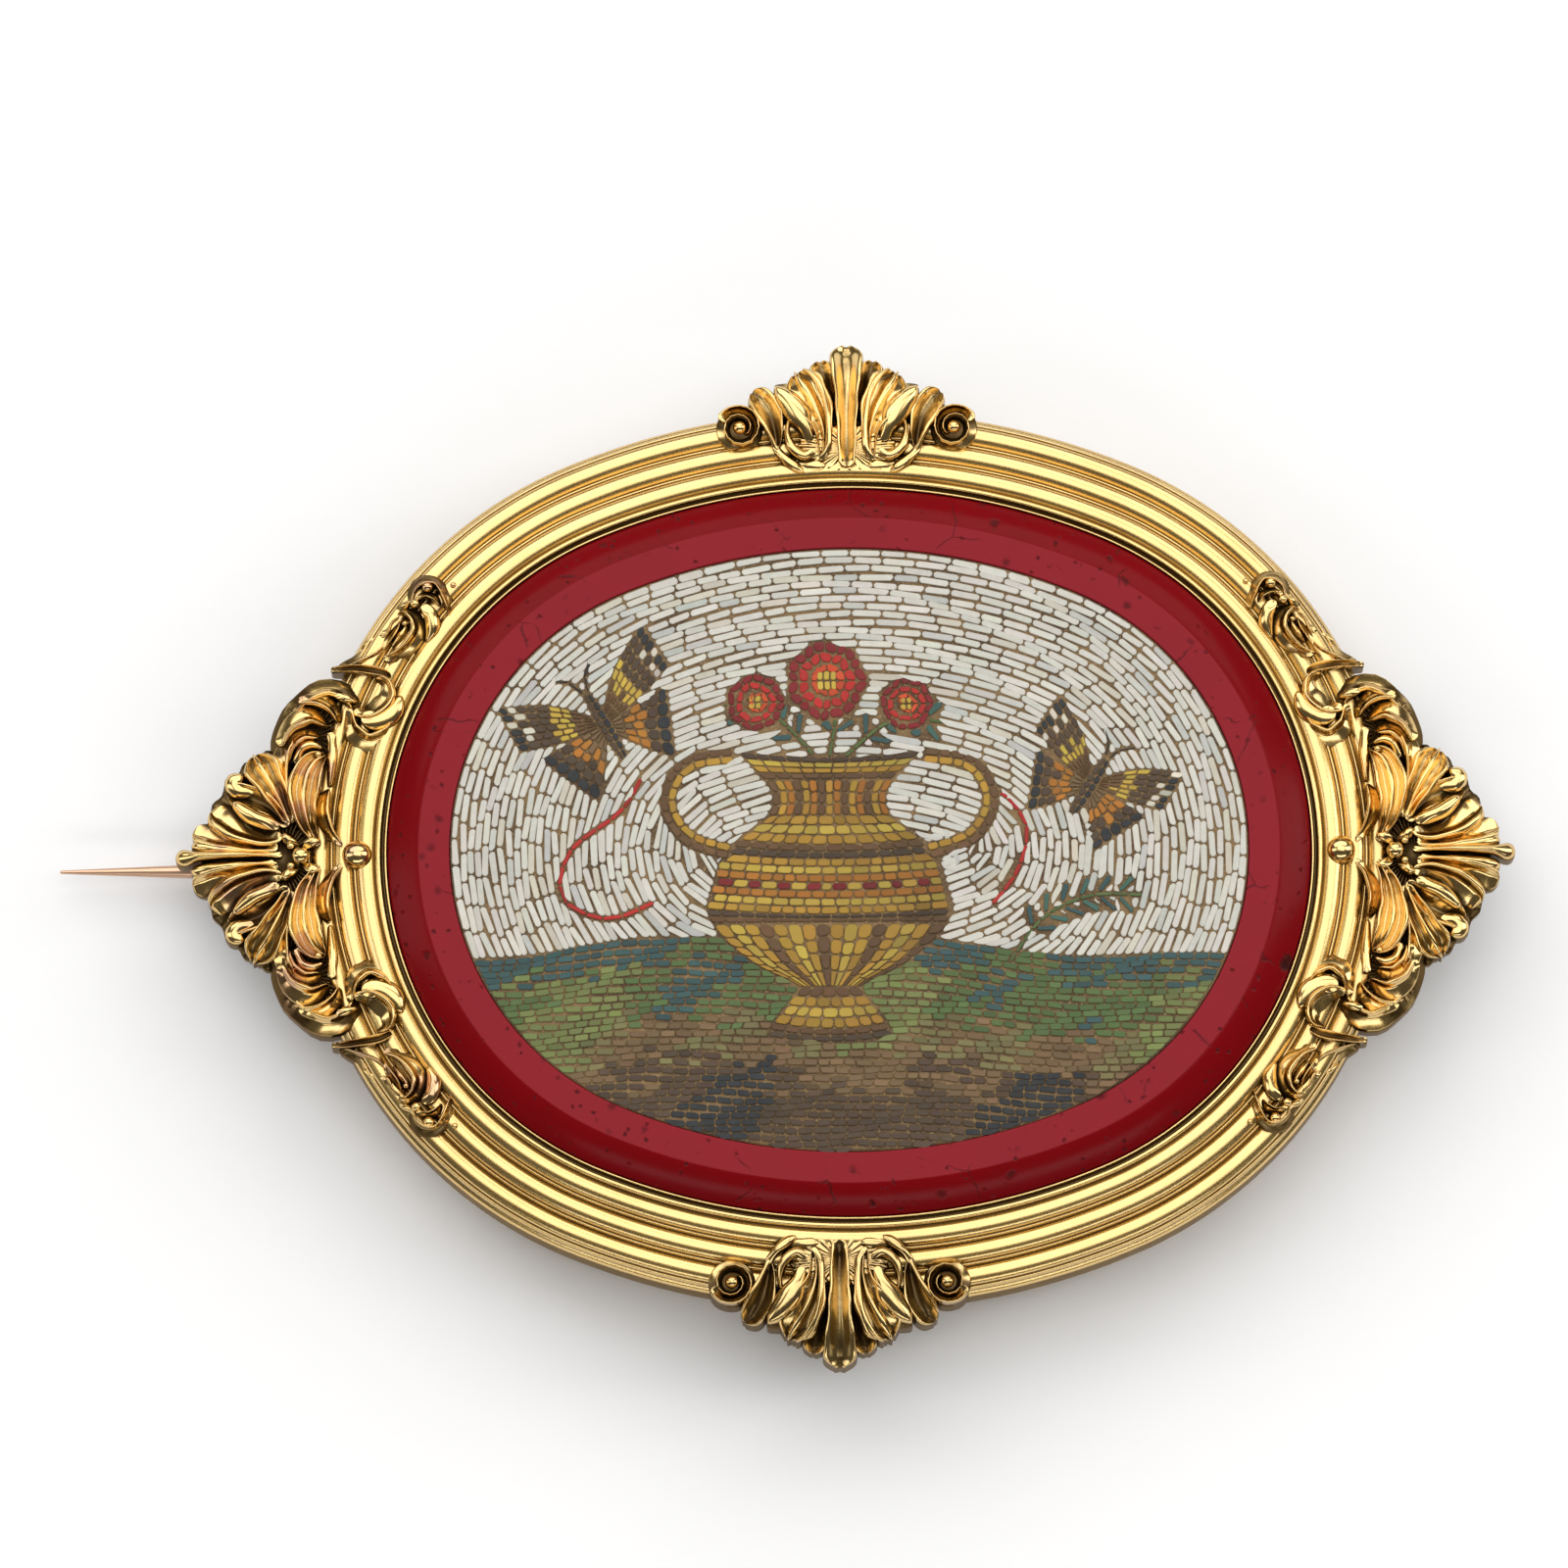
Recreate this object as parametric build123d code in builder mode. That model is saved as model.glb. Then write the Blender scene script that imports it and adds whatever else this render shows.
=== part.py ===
"""An oval micromosaic brooch, lying face up on its back fittings.

The mosaic field lies in a pocket of a red glass plaque with a rounded bevel.
The plaque sits in the bezel of a hollow reeded gold border.
Acanthus mounts are soldered to the border: a fan of leaves between two
scrolls at each end, and a smaller leaf between two volutes above and below.
A gold plate closes the back and carries the hinge and the catch.
The pin turns on a rivet, runs under the back and passes the left-hand leaves.

Lengths are in millimetres.  +Z is the front, +X the hinge end.  The origin is
the middle of the brooch's outline, at the surface it lies on.
"""

import os
from math import atan2, cos, degrees, pi, radians, sin
from typing import NamedTuple

from build123d import *

# The oval of the red plaque: two end arcs joined by two flatter side arcs
PLAQUE_LENGTH = 42.8
PLAQUE_WIDTH = 34.0
SIDE_ARC_RADIUS = 30.2

# The plaque and its pocket
RED_RING_WIDTH = 2.87
BEVEL_WIDTH = 1.4
BEVEL_DROP = 0.9
PLAQUE_THICKNESS = 4.1
POCKET_DEPTH = 1.5
TESSERA_HEIGHT = 0.45
PLAQUE_GAP = 0.08
POCKET_GAP = 0.05
HORIZON_DROP = 4.6
HORIZON_RISE = 0.9

# The gold border, from the plaque's edge outwards
BORDER_WIDTH = 3.78
BEZEL_WALL = 0.34
BEZEL_CLEAR = 0.1
LEDGE_WIDTH = 1.1
LEDGE_HEIGHT = 0.6
REED_RADIUS = 0.46
REED_PITCH = 1.02
REED_STEP = 0.42
REED_GROOVE = 0.12
FLANGE_DROP = 0.3
BORDER_WALL = 0.75
BACK_LIP = 0.55
HOLLOW_MARGIN = 0.45

# The acanthus mounts: how far they reach out, along and up
SIDE_REACH = 9.6
SIDE_TURN = 45.0
TOP_REACH = 7.0
TOP_TURN = 10.0
SIDE_BOSS_RISE = 0.36
SIDE_KNOB_RISE = 0.14
MOUNT_FOOT = 0.9
LEAF_RISE = 3.4
SLAB_HEIGHT = 1.3
LEAF_BEVEL = 0.62
SIDE_SLAB_OUT = 5.1
SIDE_SLAB_LENGTH = 6.6
SIDE_SLAB_WIDTH = 9.2
TOP_SLAB_OUT = 3.7
TOP_SLAB_LENGTH = 7.2
TOP_SLAB_WIDTH = 4.4
BEAD_POST = 0.7
BOSS_RADIUS = 0.7
KNOB_SIZE = 1.2
KNOB_DEPTH = 1.6
VOLUTE_RADIUS = 1.07
VOLUTE_EYE = 0.42
VOLUTE_DISH = 0.35

# The back plate, hinge, catch and pin
BACK_THICKNESS = 0.5
BACK_GAP = 0.05
BACK_EDGE_GAP = 0.06
BACK_STANDOFF = 1.2
BARREL_RADIUS = 1.15
BARREL_LENGTH = 6.0
PIN_BARREL_LENGTH = 2.0
BARREL_GAP = 0.06
RIVET_RADIUS = 0.38
RIVET_HOLE_GAP = 0.03
PIN_BORE_GAP = 0.07
RIVET_HEAD = 0.25
RIVET_HEAD_SPREAD = 1.7
HINGE_INSET = 2.3
CATCH_INSET = 1.9
CATCH_WIDTH = 2.4
CATCH_WALL = 0.32
CATCH_GAP = 0.38
CATCH_MOUTH_FROM = 200.0
CATCH_MOUTH_TO = 312.0
PIN_RADIUS = 0.45
PIN_OVERHANG = 5.8
POINT_RADIUS = 0.08
TAPER_LENGTH = 18.8
TIP_LENGTH = 6.5
TIP_RADIUS = 0.335


def polar(radius, degrees_round):
    """A point on a circle about the origin, as two coordinates."""
    return (radius * cos(radians(degrees_round)), radius * sin(radians(degrees_round)))


# Worked out from the sizes above
half_length = PLAQUE_LENGTH / 2
half_width = PLAQUE_WIDTH / 2
end_arc_radius = (
    (half_length**2 + half_width**2 - 2 * SIDE_ARC_RADIUS * half_width)
    / (2 * (half_length - SIDE_ARC_RADIUS))
)
end_centre = half_length - end_arc_radius
side_centre = SIDE_ARC_RADIUS - half_width
joint_angle = atan2(side_centre, end_centre)

pin_height = BARREL_RADIUS
back_face = pin_height + BACK_STANDOFF
border_foot = back_face + BACK_THICKNESS + BACK_GAP
ledge_top = border_foot + LEDGE_HEIGHT
plaque_foot = ledge_top + PLAQUE_GAP
plaque_top = plaque_foot + PLAQUE_THICKNESS
bezel_top = plaque_top - BEVEL_DROP + BEZEL_CLEAR
leaf_foot = border_foot + MOUNT_FOOT
leaf_top = leaf_foot + LEAF_RISE
tessera_foot = plaque_top - TESSERA_HEIGHT

leaf_end = half_length + SIDE_REACH
pin_end = leaf_end + PIN_OVERHANG
oval_x = (pin_end - leaf_end) / 2
hinge_x = half_length - HINGE_INSET
catch_x = -half_length + CATCH_INSET
knuckle_inner = PIN_BARREL_LENGTH / 2 + BARREL_GAP
knuckle_outer = BARREL_LENGTH / 2
catch_inner = PIN_RADIUS + CATCH_GAP
catch_mouth_reach = catch_inner + 2 * CATCH_WALL
mouth_start = polar(catch_mouth_reach, CATCH_MOUTH_FROM)
mouth_middle = polar(catch_mouth_reach, (CATCH_MOUTH_FROM + CATCH_MOUTH_TO) / 2)
mouth_end = polar(catch_mouth_reach, CATCH_MOUTH_TO)
catch_plane = Plane(
    origin=(catch_x - CATCH_WIDTH / 2, 0, pin_height), x_dir=(0, 1, 0), z_dir=(1, 0, 0)
)
back_offset = BORDER_WIDTH - BORDER_WALL / 3 - BORDER_WALL / 2 - BACK_EDGE_GAP
side_knob = half_length + SIDE_KNOB_RISE * SIDE_REACH


class Leaf(NamedTuple):
    """A leaf or scroll band: its two ends on a mount's chart and its two edges.

    turn is the share of the mount's half angle, rise the share of its reach,
    left and right are the edges' sagittas as shares of the leaf's length, and
    top is the share of the mounts' height that its crest comes to.
    """

    root_turn: float
    root_rise: float
    tip_turn: float
    tip_rise: float
    left: float
    right: float
    top: float


FAN_LEAVES = [
    Leaf(0.02, 0.46, 0.07, 0.95, 0.13, -0.10, 0.80),
    Leaf(0.04, 0.46, 0.14, 0.86, 0.13, -0.17, 0.90),
    Leaf(0.07, 0.46, 0.22, 0.79, 0.12, -0.16, 0.76),
    Leaf(0.09, 0.45, 0.31, 0.70, 0.15, -0.22, 0.86),
]
SCROLL_LEAVES = [
    Leaf(0.04, 0.38, 0.31, 0.45, 0.02, -0.24, 0.90),
    Leaf(0.04, 0.31, 0.34, 0.34, 0.12, -0.12, 1.00),
    Leaf(0.03, 0.26, 0.22, 0.27, 0.28, -0.02, 0.88),
    Leaf(0.24, 0.57, 0.62, 0.17, -0.21, -0.34, 0.92),
    Leaf(0.35, 0.50, 0.55, 0.26, -0.10, -0.33, 1.00),
    Leaf(0.29, 0.56, 0.45, 0.37, -0.08, -0.32, 0.95),
    Leaf(0.25, 0.50, 0.40, 0.36, -0.06, -0.34, 0.85),
    Leaf(0.42, 0.22, 0.58, 0.27, 0.52, 0.14, 1.00),
    Leaf(0.58, 0.42, 0.84, 0.32, -0.02, -0.24, 0.84),
    Leaf(0.66, 0.26, 0.83, 0.33, 0.50, 0.16, 0.96),
    Leaf(0.85, 0.33, 0.95, 0.20, -0.05, -0.55, 0.94),
]
TOP_LEAVES = [
    Leaf(0.04, 0.28, 0.21, 0.90, 0.08, -0.12, 0.82),
    Leaf(0.13, 0.22, 0.49, 0.77, 0.26, -0.12, 0.96),
    Leaf(0.34, 0.17, 0.74, 0.64, 0.18, -0.10, 0.86),
]
SIDE_RIB = Leaf(0.0, 0.40, 0.0, 1.0, 0.085, -0.085, 0.95)
TOP_RIB = Leaf(0.0, 0.14, 0.0, 1.0, 0.105, -0.105, 1.0)
SIDE_VOLUTE = (0.49, 0.245)
SIDE_CURL = (0.90, 0.265)
TOP_VOLUTE = (0.82, 0.44)


def side_point(turn, rise):
    """A point of the right-hand mount's chart, as x and y."""
    angle = radians(turn * SIDE_TURN)
    radius = end_arc_radius + rise * SIDE_REACH
    return Vector(end_centre + radius * cos(angle), radius * sin(angle))


def top_point(turn, rise):
    """A point of the upper mount's chart, as x and y."""
    angle = radians(turn * TOP_TURN)
    radius = SIDE_ARC_RADIUS + rise * TOP_REACH
    return Vector(radius * sin(angle), radius * cos(angle) - side_centre)


def oval_corner(offset, x_sign, y_sign):
    """Where an end arc meets a side arc, on the oval that lies offset further out."""
    radius = end_arc_radius + offset
    return (
        x_sign * (end_centre + radius * cos(joint_angle)),
        y_sign * radius * sin(joint_angle),
    )


def oval_face(offset, height):
    """The plaque's oval, offset outwards, as a flat face at a height."""
    a, b = half_length + offset, half_width + offset
    with BuildSketch(Plane.XY.offset(height)) as face:
        with BuildLine():
            ThreePointArc(oval_corner(offset, 1, -1), (a, 0), oval_corner(offset, 1, 1))
            ThreePointArc(oval_corner(offset, 1, 1), (0, b), oval_corner(offset, -1, 1))
            ThreePointArc(oval_corner(offset, -1, 1), (-a, 0), oval_corner(offset, -1, -1))
            ThreePointArc(oval_corner(offset, -1, -1), (0, -b), oval_corner(offset, 1, -1))
        make_face()
    return face.sketch


def field_face(offset, height, upper):
    """The part of an oval above or below the mosaic's horizon."""
    reach = half_length
    gap = POCKET_GAP if upper else -POCKET_GAP
    side = half_width if upper else -half_width
    low = -HORIZON_DROP + gap
    with BuildSketch(Plane.XY.offset(height)) as face:
        add(oval_face(offset, 0))
        with BuildLine():
            ThreePointArc((-reach, low), (0, low + HORIZON_RISE), (reach, low))
            Line((reach, low), (reach, side))
            Line((reach, side), (-reach, side))
            Line((-reach, side), (-reach, low))
        make_face(mode=Mode.INTERSECT)
    return face.sketch


def border_run(centre, arc_radius, start_angle, turn):
    """The border's section, turned about one arc centre of the oval."""
    inner = PLAQUE_GAP
    wall = inner + BEZEL_WALL
    groove = bezel_top - REED_RADIUS
    first = wall + REED_GROOVE + REED_RADIUS
    waist = BORDER_WIDTH - BORDER_WALL / 3
    rebate = waist - BORDER_WALL / 2
    outside = rebate - HOLLOW_MARGIN
    inside = wall + HOLLOW_MARGIN
    flange = groove - 2 * REED_STEP - FLANGE_DROP
    hollow = flange - HOLLOW_MARGIN
    outward = Vector(cos(start_angle), sin(start_angle), 0)
    plane = Plane(
        origin=Vector(*centre) + outward * arc_radius,
        x_dir=outward,
        z_dir=(outward.Y, -outward.X, 0),
    )
    with BuildPart() as run:
        with BuildSketch(plane):
            with BuildLine():
                last = (wall, groove)
                Line((inner, bezel_top), (wall, bezel_top))
                Line((wall, bezel_top), last)
                for number in range(3):
                    middle = first + number * REED_PITCH
                    foot = groove - number * REED_STEP
                    Line(last, (middle - REED_RADIUS, foot))
                    ThreePointArc(
                        (middle - REED_RADIUS, foot),
                        (middle, foot + REED_RADIUS),
                        (middle + REED_RADIUS, foot),
                    )
                    last = (middle + REED_RADIUS, foot)
                Polyline(
                    last,
                    (BORDER_WIDTH, flange),
                    (waist, back_face + BACK_LIP),
                    (waist, back_face),
                    (rebate, back_face),
                    (rebate, border_foot),
                    (outside, border_foot),
                    (outside, hollow),
                    (inside, hollow),
                    (inside, border_foot),
                    (-LEDGE_WIDTH, border_foot),
                    (-LEDGE_WIDTH, ledge_top),
                    (inner, ledge_top),
                    (inner, bezel_top),
                )
            make_face()
        revolve(axis=Axis((centre[0], centre[1], 0), (0, 0, 1)), revolution_arc=degrees(turn))
    return run.part


def leaf_outline(root, tip, left, right):
    """A leaf between two points, its edges bulging by the two sagittas."""
    across = Vector(root.Y - tip.Y, tip.X - root.X)
    middle = (root + tip) * 0.5
    with BuildLine() as outline:
        ThreePointArc(root, middle + across * left, tip)
        ThreePointArc(tip, middle + across * right, root)
    return outline.line


def leaf_body(leaf, chart):
    """A leaf with sloping sides, narrower at its crest."""
    root = chart(leaf.root_turn, leaf.root_rise)
    tip = chart(leaf.tip_turn, leaf.tip_rise)
    across = Vector(root.Y - tip.Y, tip.X - root.X)
    spine = (leaf.left + leaf.right) / 2
    half = (leaf.left - leaf.right) / 2
    inset = (1 - LEAF_BEVEL) / 4
    bow = across * (spine * 4 * inset * (1 - inset))
    crest_root = root + (tip - root) * inset + bow
    crest_tip = tip - (tip - root) * inset + bow
    with BuildPart() as body:
        with BuildSketch(Plane.XY.offset(leaf_foot)):
            with BuildLine():
                add(leaf_outline(root, tip, leaf.left, leaf.right))
            make_face()
        with BuildSketch(Plane.XY.offset(leaf_foot + LEAF_RISE * leaf.top)):
            with BuildLine():
                add(
                    leaf_outline(
                        crest_root,
                        crest_tip,
                        spine + half * LEAF_BEVEL,
                        spine - half * LEAF_BEVEL,
                    )
                )
            make_face()
        loft(ruled=True)
    return body.part


def post(point, radius, top):
    """An upright round post that rises from the mounts' foot."""
    with BuildPart() as body:
        with BuildSketch(Plane.XY.offset(leaf_foot)):
            with Locations((point.X, point.Y)):
                Circle(radius)
        extrude(amount=top - leaf_foot)
    return body.part


def bead(point, radius, top):
    """A round bead on a post."""
    with BuildPart() as body:
        with Locations((point.X, point.Y, top - radius)):
            Sphere(radius)
        add(post(point, radius * BEAD_POST, top - radius))
    return body.part


def volute(point):
    """A volute: a dished post with a bead in its eye."""
    with BuildPart() as body:
        add(post(point, VOLUTE_RADIUS, leaf_top))
        with Locations((point.X, point.Y, leaf_top)):
            Cone(
                VOLUTE_EYE,
                (VOLUTE_RADIUS + VOLUTE_EYE) / 2,
                VOLUTE_DISH,
                align=(Align.CENTER, Align.CENTER, Align.MAX),
                mode=Mode.SUBTRACT,
            )
        add(bead(point, VOLUTE_EYE, leaf_top))
    return body.part


side_leaves = [leaf_body(leaf, side_point) for leaf in FAN_LEAVES + SCROLL_LEAVES]
side_rib = leaf_body(SIDE_RIB, side_point)
side_volute = volute(side_point(*SIDE_VOLUTE))
side_curl = bead(side_point(*SIDE_CURL), VOLUTE_EYE, leaf_top)
top_leaves = [leaf_body(leaf, top_point) for leaf in TOP_LEAVES]
top_rib = leaf_body(TOP_RIB, top_point)
top_volute = volute(top_point(*TOP_VOLUTE))

# One half of the right-hand mount, then the whole of it
with BuildPart() as side_mount:
    add(side_leaves)
    add(side_volute)
    add(side_curl)
    mirror(about=Plane.XZ)
    add(side_rib)
    add(bead(side_point(0, SIDE_BOSS_RISE), BOSS_RADIUS, leaf_top))
    with BuildSketch(Plane.XY.offset(leaf_foot)):
        with Locations((half_length + SIDE_SLAB_OUT, 0)):
            Ellipse(SIDE_SLAB_LENGTH / 2, SIDE_SLAB_WIDTH / 2)
    extrude(amount=SLAB_HEIGHT)

# The upper mount
with BuildPart() as top_mount:
    add(top_leaves)
    add(top_volute)
    mirror(about=Plane.YZ)
    add(top_rib)
    with BuildSketch(Plane.XY.offset(leaf_foot)):
        with Locations((0, half_width + TOP_SLAB_OUT)):
            Ellipse(TOP_SLAB_LENGTH / 2, TOP_SLAB_WIDTH / 2)
    extrude(amount=SLAB_HEIGHT)

border_runs = [
    border_run((end_centre, 0), end_arc_radius, -joint_angle, 2 * joint_angle),
    border_run((0, -side_centre), SIDE_ARC_RADIUS, joint_angle, pi - 2 * joint_angle),
]

# The gold border with its four mounts, soldered into one piece
with BuildPart() as gold_frame:
    add(border_runs)
    mirror(about=Plane.XZ)
    mirror(about=Plane.YZ)
    add(side_mount.part)
    add(side_mount.part.mirror(Plane.YZ))
    add(top_mount.part)
    add(top_mount.part.mirror(Plane.XZ))
    with Locations((side_knob, 0, leaf_top)):
        Box(KNOB_SIZE, KNOB_SIZE, KNOB_DEPTH, align=(Align.CENTER, Align.CENTER, Align.MAX))
    with Locations((-side_knob, 0, leaf_top - KNOB_SIZE / 2)):
        Sphere(KNOB_SIZE / 2)

# The red glass plaque: a bevelled slab with a pocket
with BuildPart() as red_plaque:
    extrude(oval_face(0, plaque_foot), amount=PLAQUE_THICKNESS - BEVEL_DROP)
    with BuildSketch(Plane.XY.offset(plaque_top - BEVEL_DROP)):
        add(oval_face(0, 0))
    with BuildSketch(Plane.XY.offset(plaque_top)):
        add(oval_face(-BEVEL_WIDTH, 0))
    loft(ruled=True)
    extrude(oval_face(-RED_RING_WIDTH, plaque_top), amount=-POCKET_DEPTH, mode=Mode.SUBTRACT)

# The mastic that the tesserae are set in
with BuildPart() as mastic_bed:
    extrude(
        oval_face(-RED_RING_WIDTH - POCKET_GAP, plaque_top - POCKET_DEPTH + POCKET_GAP),
        amount=POCKET_DEPTH - TESSERA_HEIGHT - 2 * POCKET_GAP,
    )

# The tesserae, as two fields that meet at the horizon
with BuildPart() as mosaic_sky:
    extrude(field_face(-RED_RING_WIDTH - POCKET_GAP, tessera_foot, True), amount=TESSERA_HEIGHT)

with BuildPart() as mosaic_ground:
    extrude(field_face(-RED_RING_WIDTH - POCKET_GAP, tessera_foot, False), amount=TESSERA_HEIGHT)

# The back plate with the hinge's outer knuckles and the catch
with BuildPart() as back_plate:
    extrude(oval_face(back_offset, back_face), amount=BACK_THICKNESS)
    for side in (1, -1):
        with Locations((hinge_x, side * (knuckle_inner + knuckle_outer) / 2, pin_height)):
            Cylinder(BARREL_RADIUS, knuckle_outer - knuckle_inner, rotation=(90, 0, 0))
            Box(
                2 * BARREL_RADIUS,
                knuckle_outer - knuckle_inner,
                BACK_STANDOFF + BACK_THICKNESS / 2,
                align=(Align.CENTER, Align.CENTER, Align.MIN),
            )
    with Locations((hinge_x, 0, pin_height)):
        Cylinder(
            RIVET_RADIUS + RIVET_HOLE_GAP,
            2 * BARREL_LENGTH,
            rotation=(90, 0, 0),
            mode=Mode.SUBTRACT,
        )
    with BuildSketch(catch_plane):
        Circle(catch_inner + CATCH_WALL)
        Circle(catch_inner, mode=Mode.SUBTRACT)
        with BuildLine():
            Line((0, 0), mouth_start)
            ThreePointArc(mouth_start, mouth_middle, mouth_end)
            Line(mouth_end, (0, 0))
        make_face(mode=Mode.SUBTRACT)
    extrude(amount=CATCH_WIDTH)
    with Locations((catch_x, 0, back_face + BACK_THICKNESS / 2)):
        Box(
            CATCH_WIDTH,
            catch_inner,
            back_face + BACK_THICKNESS / 2 - pin_height - catch_inner - CATCH_WALL / 2,
            align=(Align.CENTER, Align.CENTER, Align.MAX),
        )

# The rivet that the pin turns on
with BuildPart() as hinge_rivet:
    with Locations((hinge_x, 0, pin_height)):
        Cylinder(RIVET_RADIUS, BARREL_LENGTH + 2 * BACK_GAP, rotation=(90, 0, 0))
    for side in (1, -1):
        head_y = side * (BARREL_LENGTH / 2 + BACK_GAP + RIVET_HEAD / 2)
        with Locations((hinge_x, head_y, pin_height)):
            Cylinder(RIVET_RADIUS * RIVET_HEAD_SPREAD, RIVET_HEAD, rotation=(90, 0, 0))

# The pin: a barrel and a stem that tapers to its point
with BuildPart() as pin_stem:
    with BuildSketch(Plane.XZ):
        with BuildLine():
            Polyline(
                (hinge_x - BARREL_RADIUS / 2, pin_height),
                (hinge_x - BARREL_RADIUS / 2, pin_height + PIN_RADIUS),
                (TAPER_LENGTH - pin_end, pin_height + PIN_RADIUS),
                (TIP_LENGTH - pin_end, pin_height + TIP_RADIUS),
                (POINT_RADIUS - pin_end, pin_height + POINT_RADIUS),
                (-pin_end, pin_height),
                close=True,
            )
        make_face()
    revolve(axis=Axis((0, 0, pin_height), (1, 0, 0)))
    with Locations((hinge_x, 0, pin_height)):
        Cylinder(BARREL_RADIUS, PIN_BARREL_LENGTH, rotation=(90, 0, 0))
        Cylinder(
            RIVET_RADIUS + PIN_BORE_GAP,
            BARREL_LENGTH,
            rotation=(90, 0, 0),
            mode=Mode.SUBTRACT,
        )

os.makedirs("parts", exist_ok=True)
pieces = {
    "gold_frame": gold_frame,
    "red_plaque": red_plaque,
    "mastic_bed": mastic_bed,
    "mosaic_sky": mosaic_sky,
    "mosaic_ground": mosaic_ground,
    "back_plate": back_plate,
    "hinge_rivet": hinge_rivet,
    "pin_stem": pin_stem,
}
for name, piece in pieces.items():
    body = Pos(oval_x, 0, 0) * piece.part
    body.label = name
    export_step(body, f"parts/{name}.step")
    box = body.bounding_box()
    print(f"{name}: valid {body.is_valid}, solids {len(body.solids())}, {body.volume:.2f} mm3")
    print(f"  from {box.min} to {box.max}")
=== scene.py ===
"""The visual model of an oval micromosaic brooch that lies on a pale floor.

Shapes are worked out in millimetres about the middle of the plaque's oval and
are moved to the frame's place, in metres, when their meshes are made.
"""

import logging
from dataclasses import dataclass, field
from enum import Enum
from typing import Callable, NamedTuple

import bpy
import numpy as np
from mathutils import Euler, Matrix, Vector


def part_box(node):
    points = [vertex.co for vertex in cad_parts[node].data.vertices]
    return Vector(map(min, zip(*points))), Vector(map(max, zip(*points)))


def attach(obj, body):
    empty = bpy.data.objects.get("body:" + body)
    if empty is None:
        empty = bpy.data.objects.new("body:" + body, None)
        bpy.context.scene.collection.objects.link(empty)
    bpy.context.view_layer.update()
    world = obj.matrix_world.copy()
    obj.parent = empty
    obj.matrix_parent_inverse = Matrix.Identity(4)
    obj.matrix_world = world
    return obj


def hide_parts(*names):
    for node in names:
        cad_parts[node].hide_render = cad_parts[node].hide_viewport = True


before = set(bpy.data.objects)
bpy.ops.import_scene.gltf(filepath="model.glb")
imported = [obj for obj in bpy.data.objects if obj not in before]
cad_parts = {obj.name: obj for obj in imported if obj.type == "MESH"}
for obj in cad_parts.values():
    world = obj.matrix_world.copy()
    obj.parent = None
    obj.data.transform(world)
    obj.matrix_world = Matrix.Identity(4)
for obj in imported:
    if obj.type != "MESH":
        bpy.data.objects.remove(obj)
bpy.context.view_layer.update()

log = logging.getLogger("brooch")
MM = 0.001
TAU = 2 * np.pi


# The frame: places and sizes that the solids give


def node_mm(name: str) -> tuple[np.ndarray, np.ndarray]:
    """Give a node's lowest and highest corners.

    Args:
        name: The node's name.

    Returns:
        The two corners in millimetres, in the frame.
    """
    low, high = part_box(name)
    return np.array(low) / MM, np.array(high) / MM


PLAQUE_LOW, PLAQUE_HIGH = node_mm("red_plaque")
BED_LOW, BED_HIGH = node_mm("mastic_bed")
OVAL_X = (PLAQUE_LOW[0] + PLAQUE_HIGH[0]) / 2
HALF_LENGTH = (PLAQUE_HIGH[0] - PLAQUE_LOW[0]) / 2
HALF_WIDTH = (PLAQUE_HIGH[1] - PLAQUE_LOW[1]) / 2
PLAQUE_TOP = PLAQUE_HIGH[2]
PLAQUE_FOOT = PLAQUE_LOW[2]
BED_FOOT = BED_LOW[2]
FRAME_FOOT = node_mm("gold_frame")[0][2]
BACK_TOP = node_mm("back_plate")[1][2]
POCKET_OFFSET = -(HALF_LENGTH - (BED_HIGH[0] - BED_LOW[0]) / 2)


@dataclass(frozen=True)
class Oval:
    """The four-centred oval of the plaque, and the ovals parallel to it."""

    half_length: float = HALF_LENGTH
    half_width: float = HALF_WIDTH
    side_radius: float = 30.2

    @property
    def end_radius(self) -> float:
        """Radius of the two end arcs, from the three given sizes."""
        a, b, big = self.half_length, self.half_width, self.side_radius
        return (a * a + b * b - 2 * big * b) / (2 * (a - big))

    @property
    def centres(self) -> tuple[float, float]:
        """How far the centres of the end arcs and of the side arcs lie from the middle."""
        return self.half_length - self.end_radius, self.side_radius - self.half_width

    def point(self, angle: np.ndarray, offset: np.ndarray | float) -> np.ndarray:
        """Find points by the direction of the outward normal.

        A point is its arc's centre plus the arc's radius and the offset along
        the normal; end arcs serve normals within the joint angle of the long
        axis, side arcs the rest.

        Args:
            angle: Directions of the normal, in radians.
            offset: Distance outwards from the plaque's edge.

        Returns:
            An array of x and y, with one more axis than the angles.
        """
        end_centre, side_centre = self.centres
        cos, sin = np.cos(angle), np.sin(angle)
        joint = np.cos(np.arctan2(side_centre, end_centre))
        at_end = np.abs(cos) > joint
        radius = np.where(at_end, self.end_radius, self.side_radius) + offset
        x = np.where(at_end, np.sign(cos) * end_centre, 0.0) + radius * cos
        y = np.where(at_end, 0.0, -np.sign(sin) * side_centre) + radius * sin
        return np.stack([x, y], axis=-1)

    def depth(self, x: np.ndarray, y: np.ndarray) -> np.ndarray:
        """Measure how far points lie outside the plaque's edge.

        Args:
            x: Coordinates along the long axis.
            y: Coordinates across it.

        Returns:
            Distances, negative inside the oval.
        """
        end_centre, side_centre = self.centres
        ax, ay = np.abs(x), np.abs(y)
        to_end = np.hypot(ax - end_centre, ay) - self.end_radius
        to_side = np.hypot(ax, ay + side_centre) - self.side_radius
        at_end = (ax - end_centre) * side_centre > ay * end_centre
        return np.where(at_end, to_end, to_side)


OVAL = Oval()


# Meshes


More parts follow.
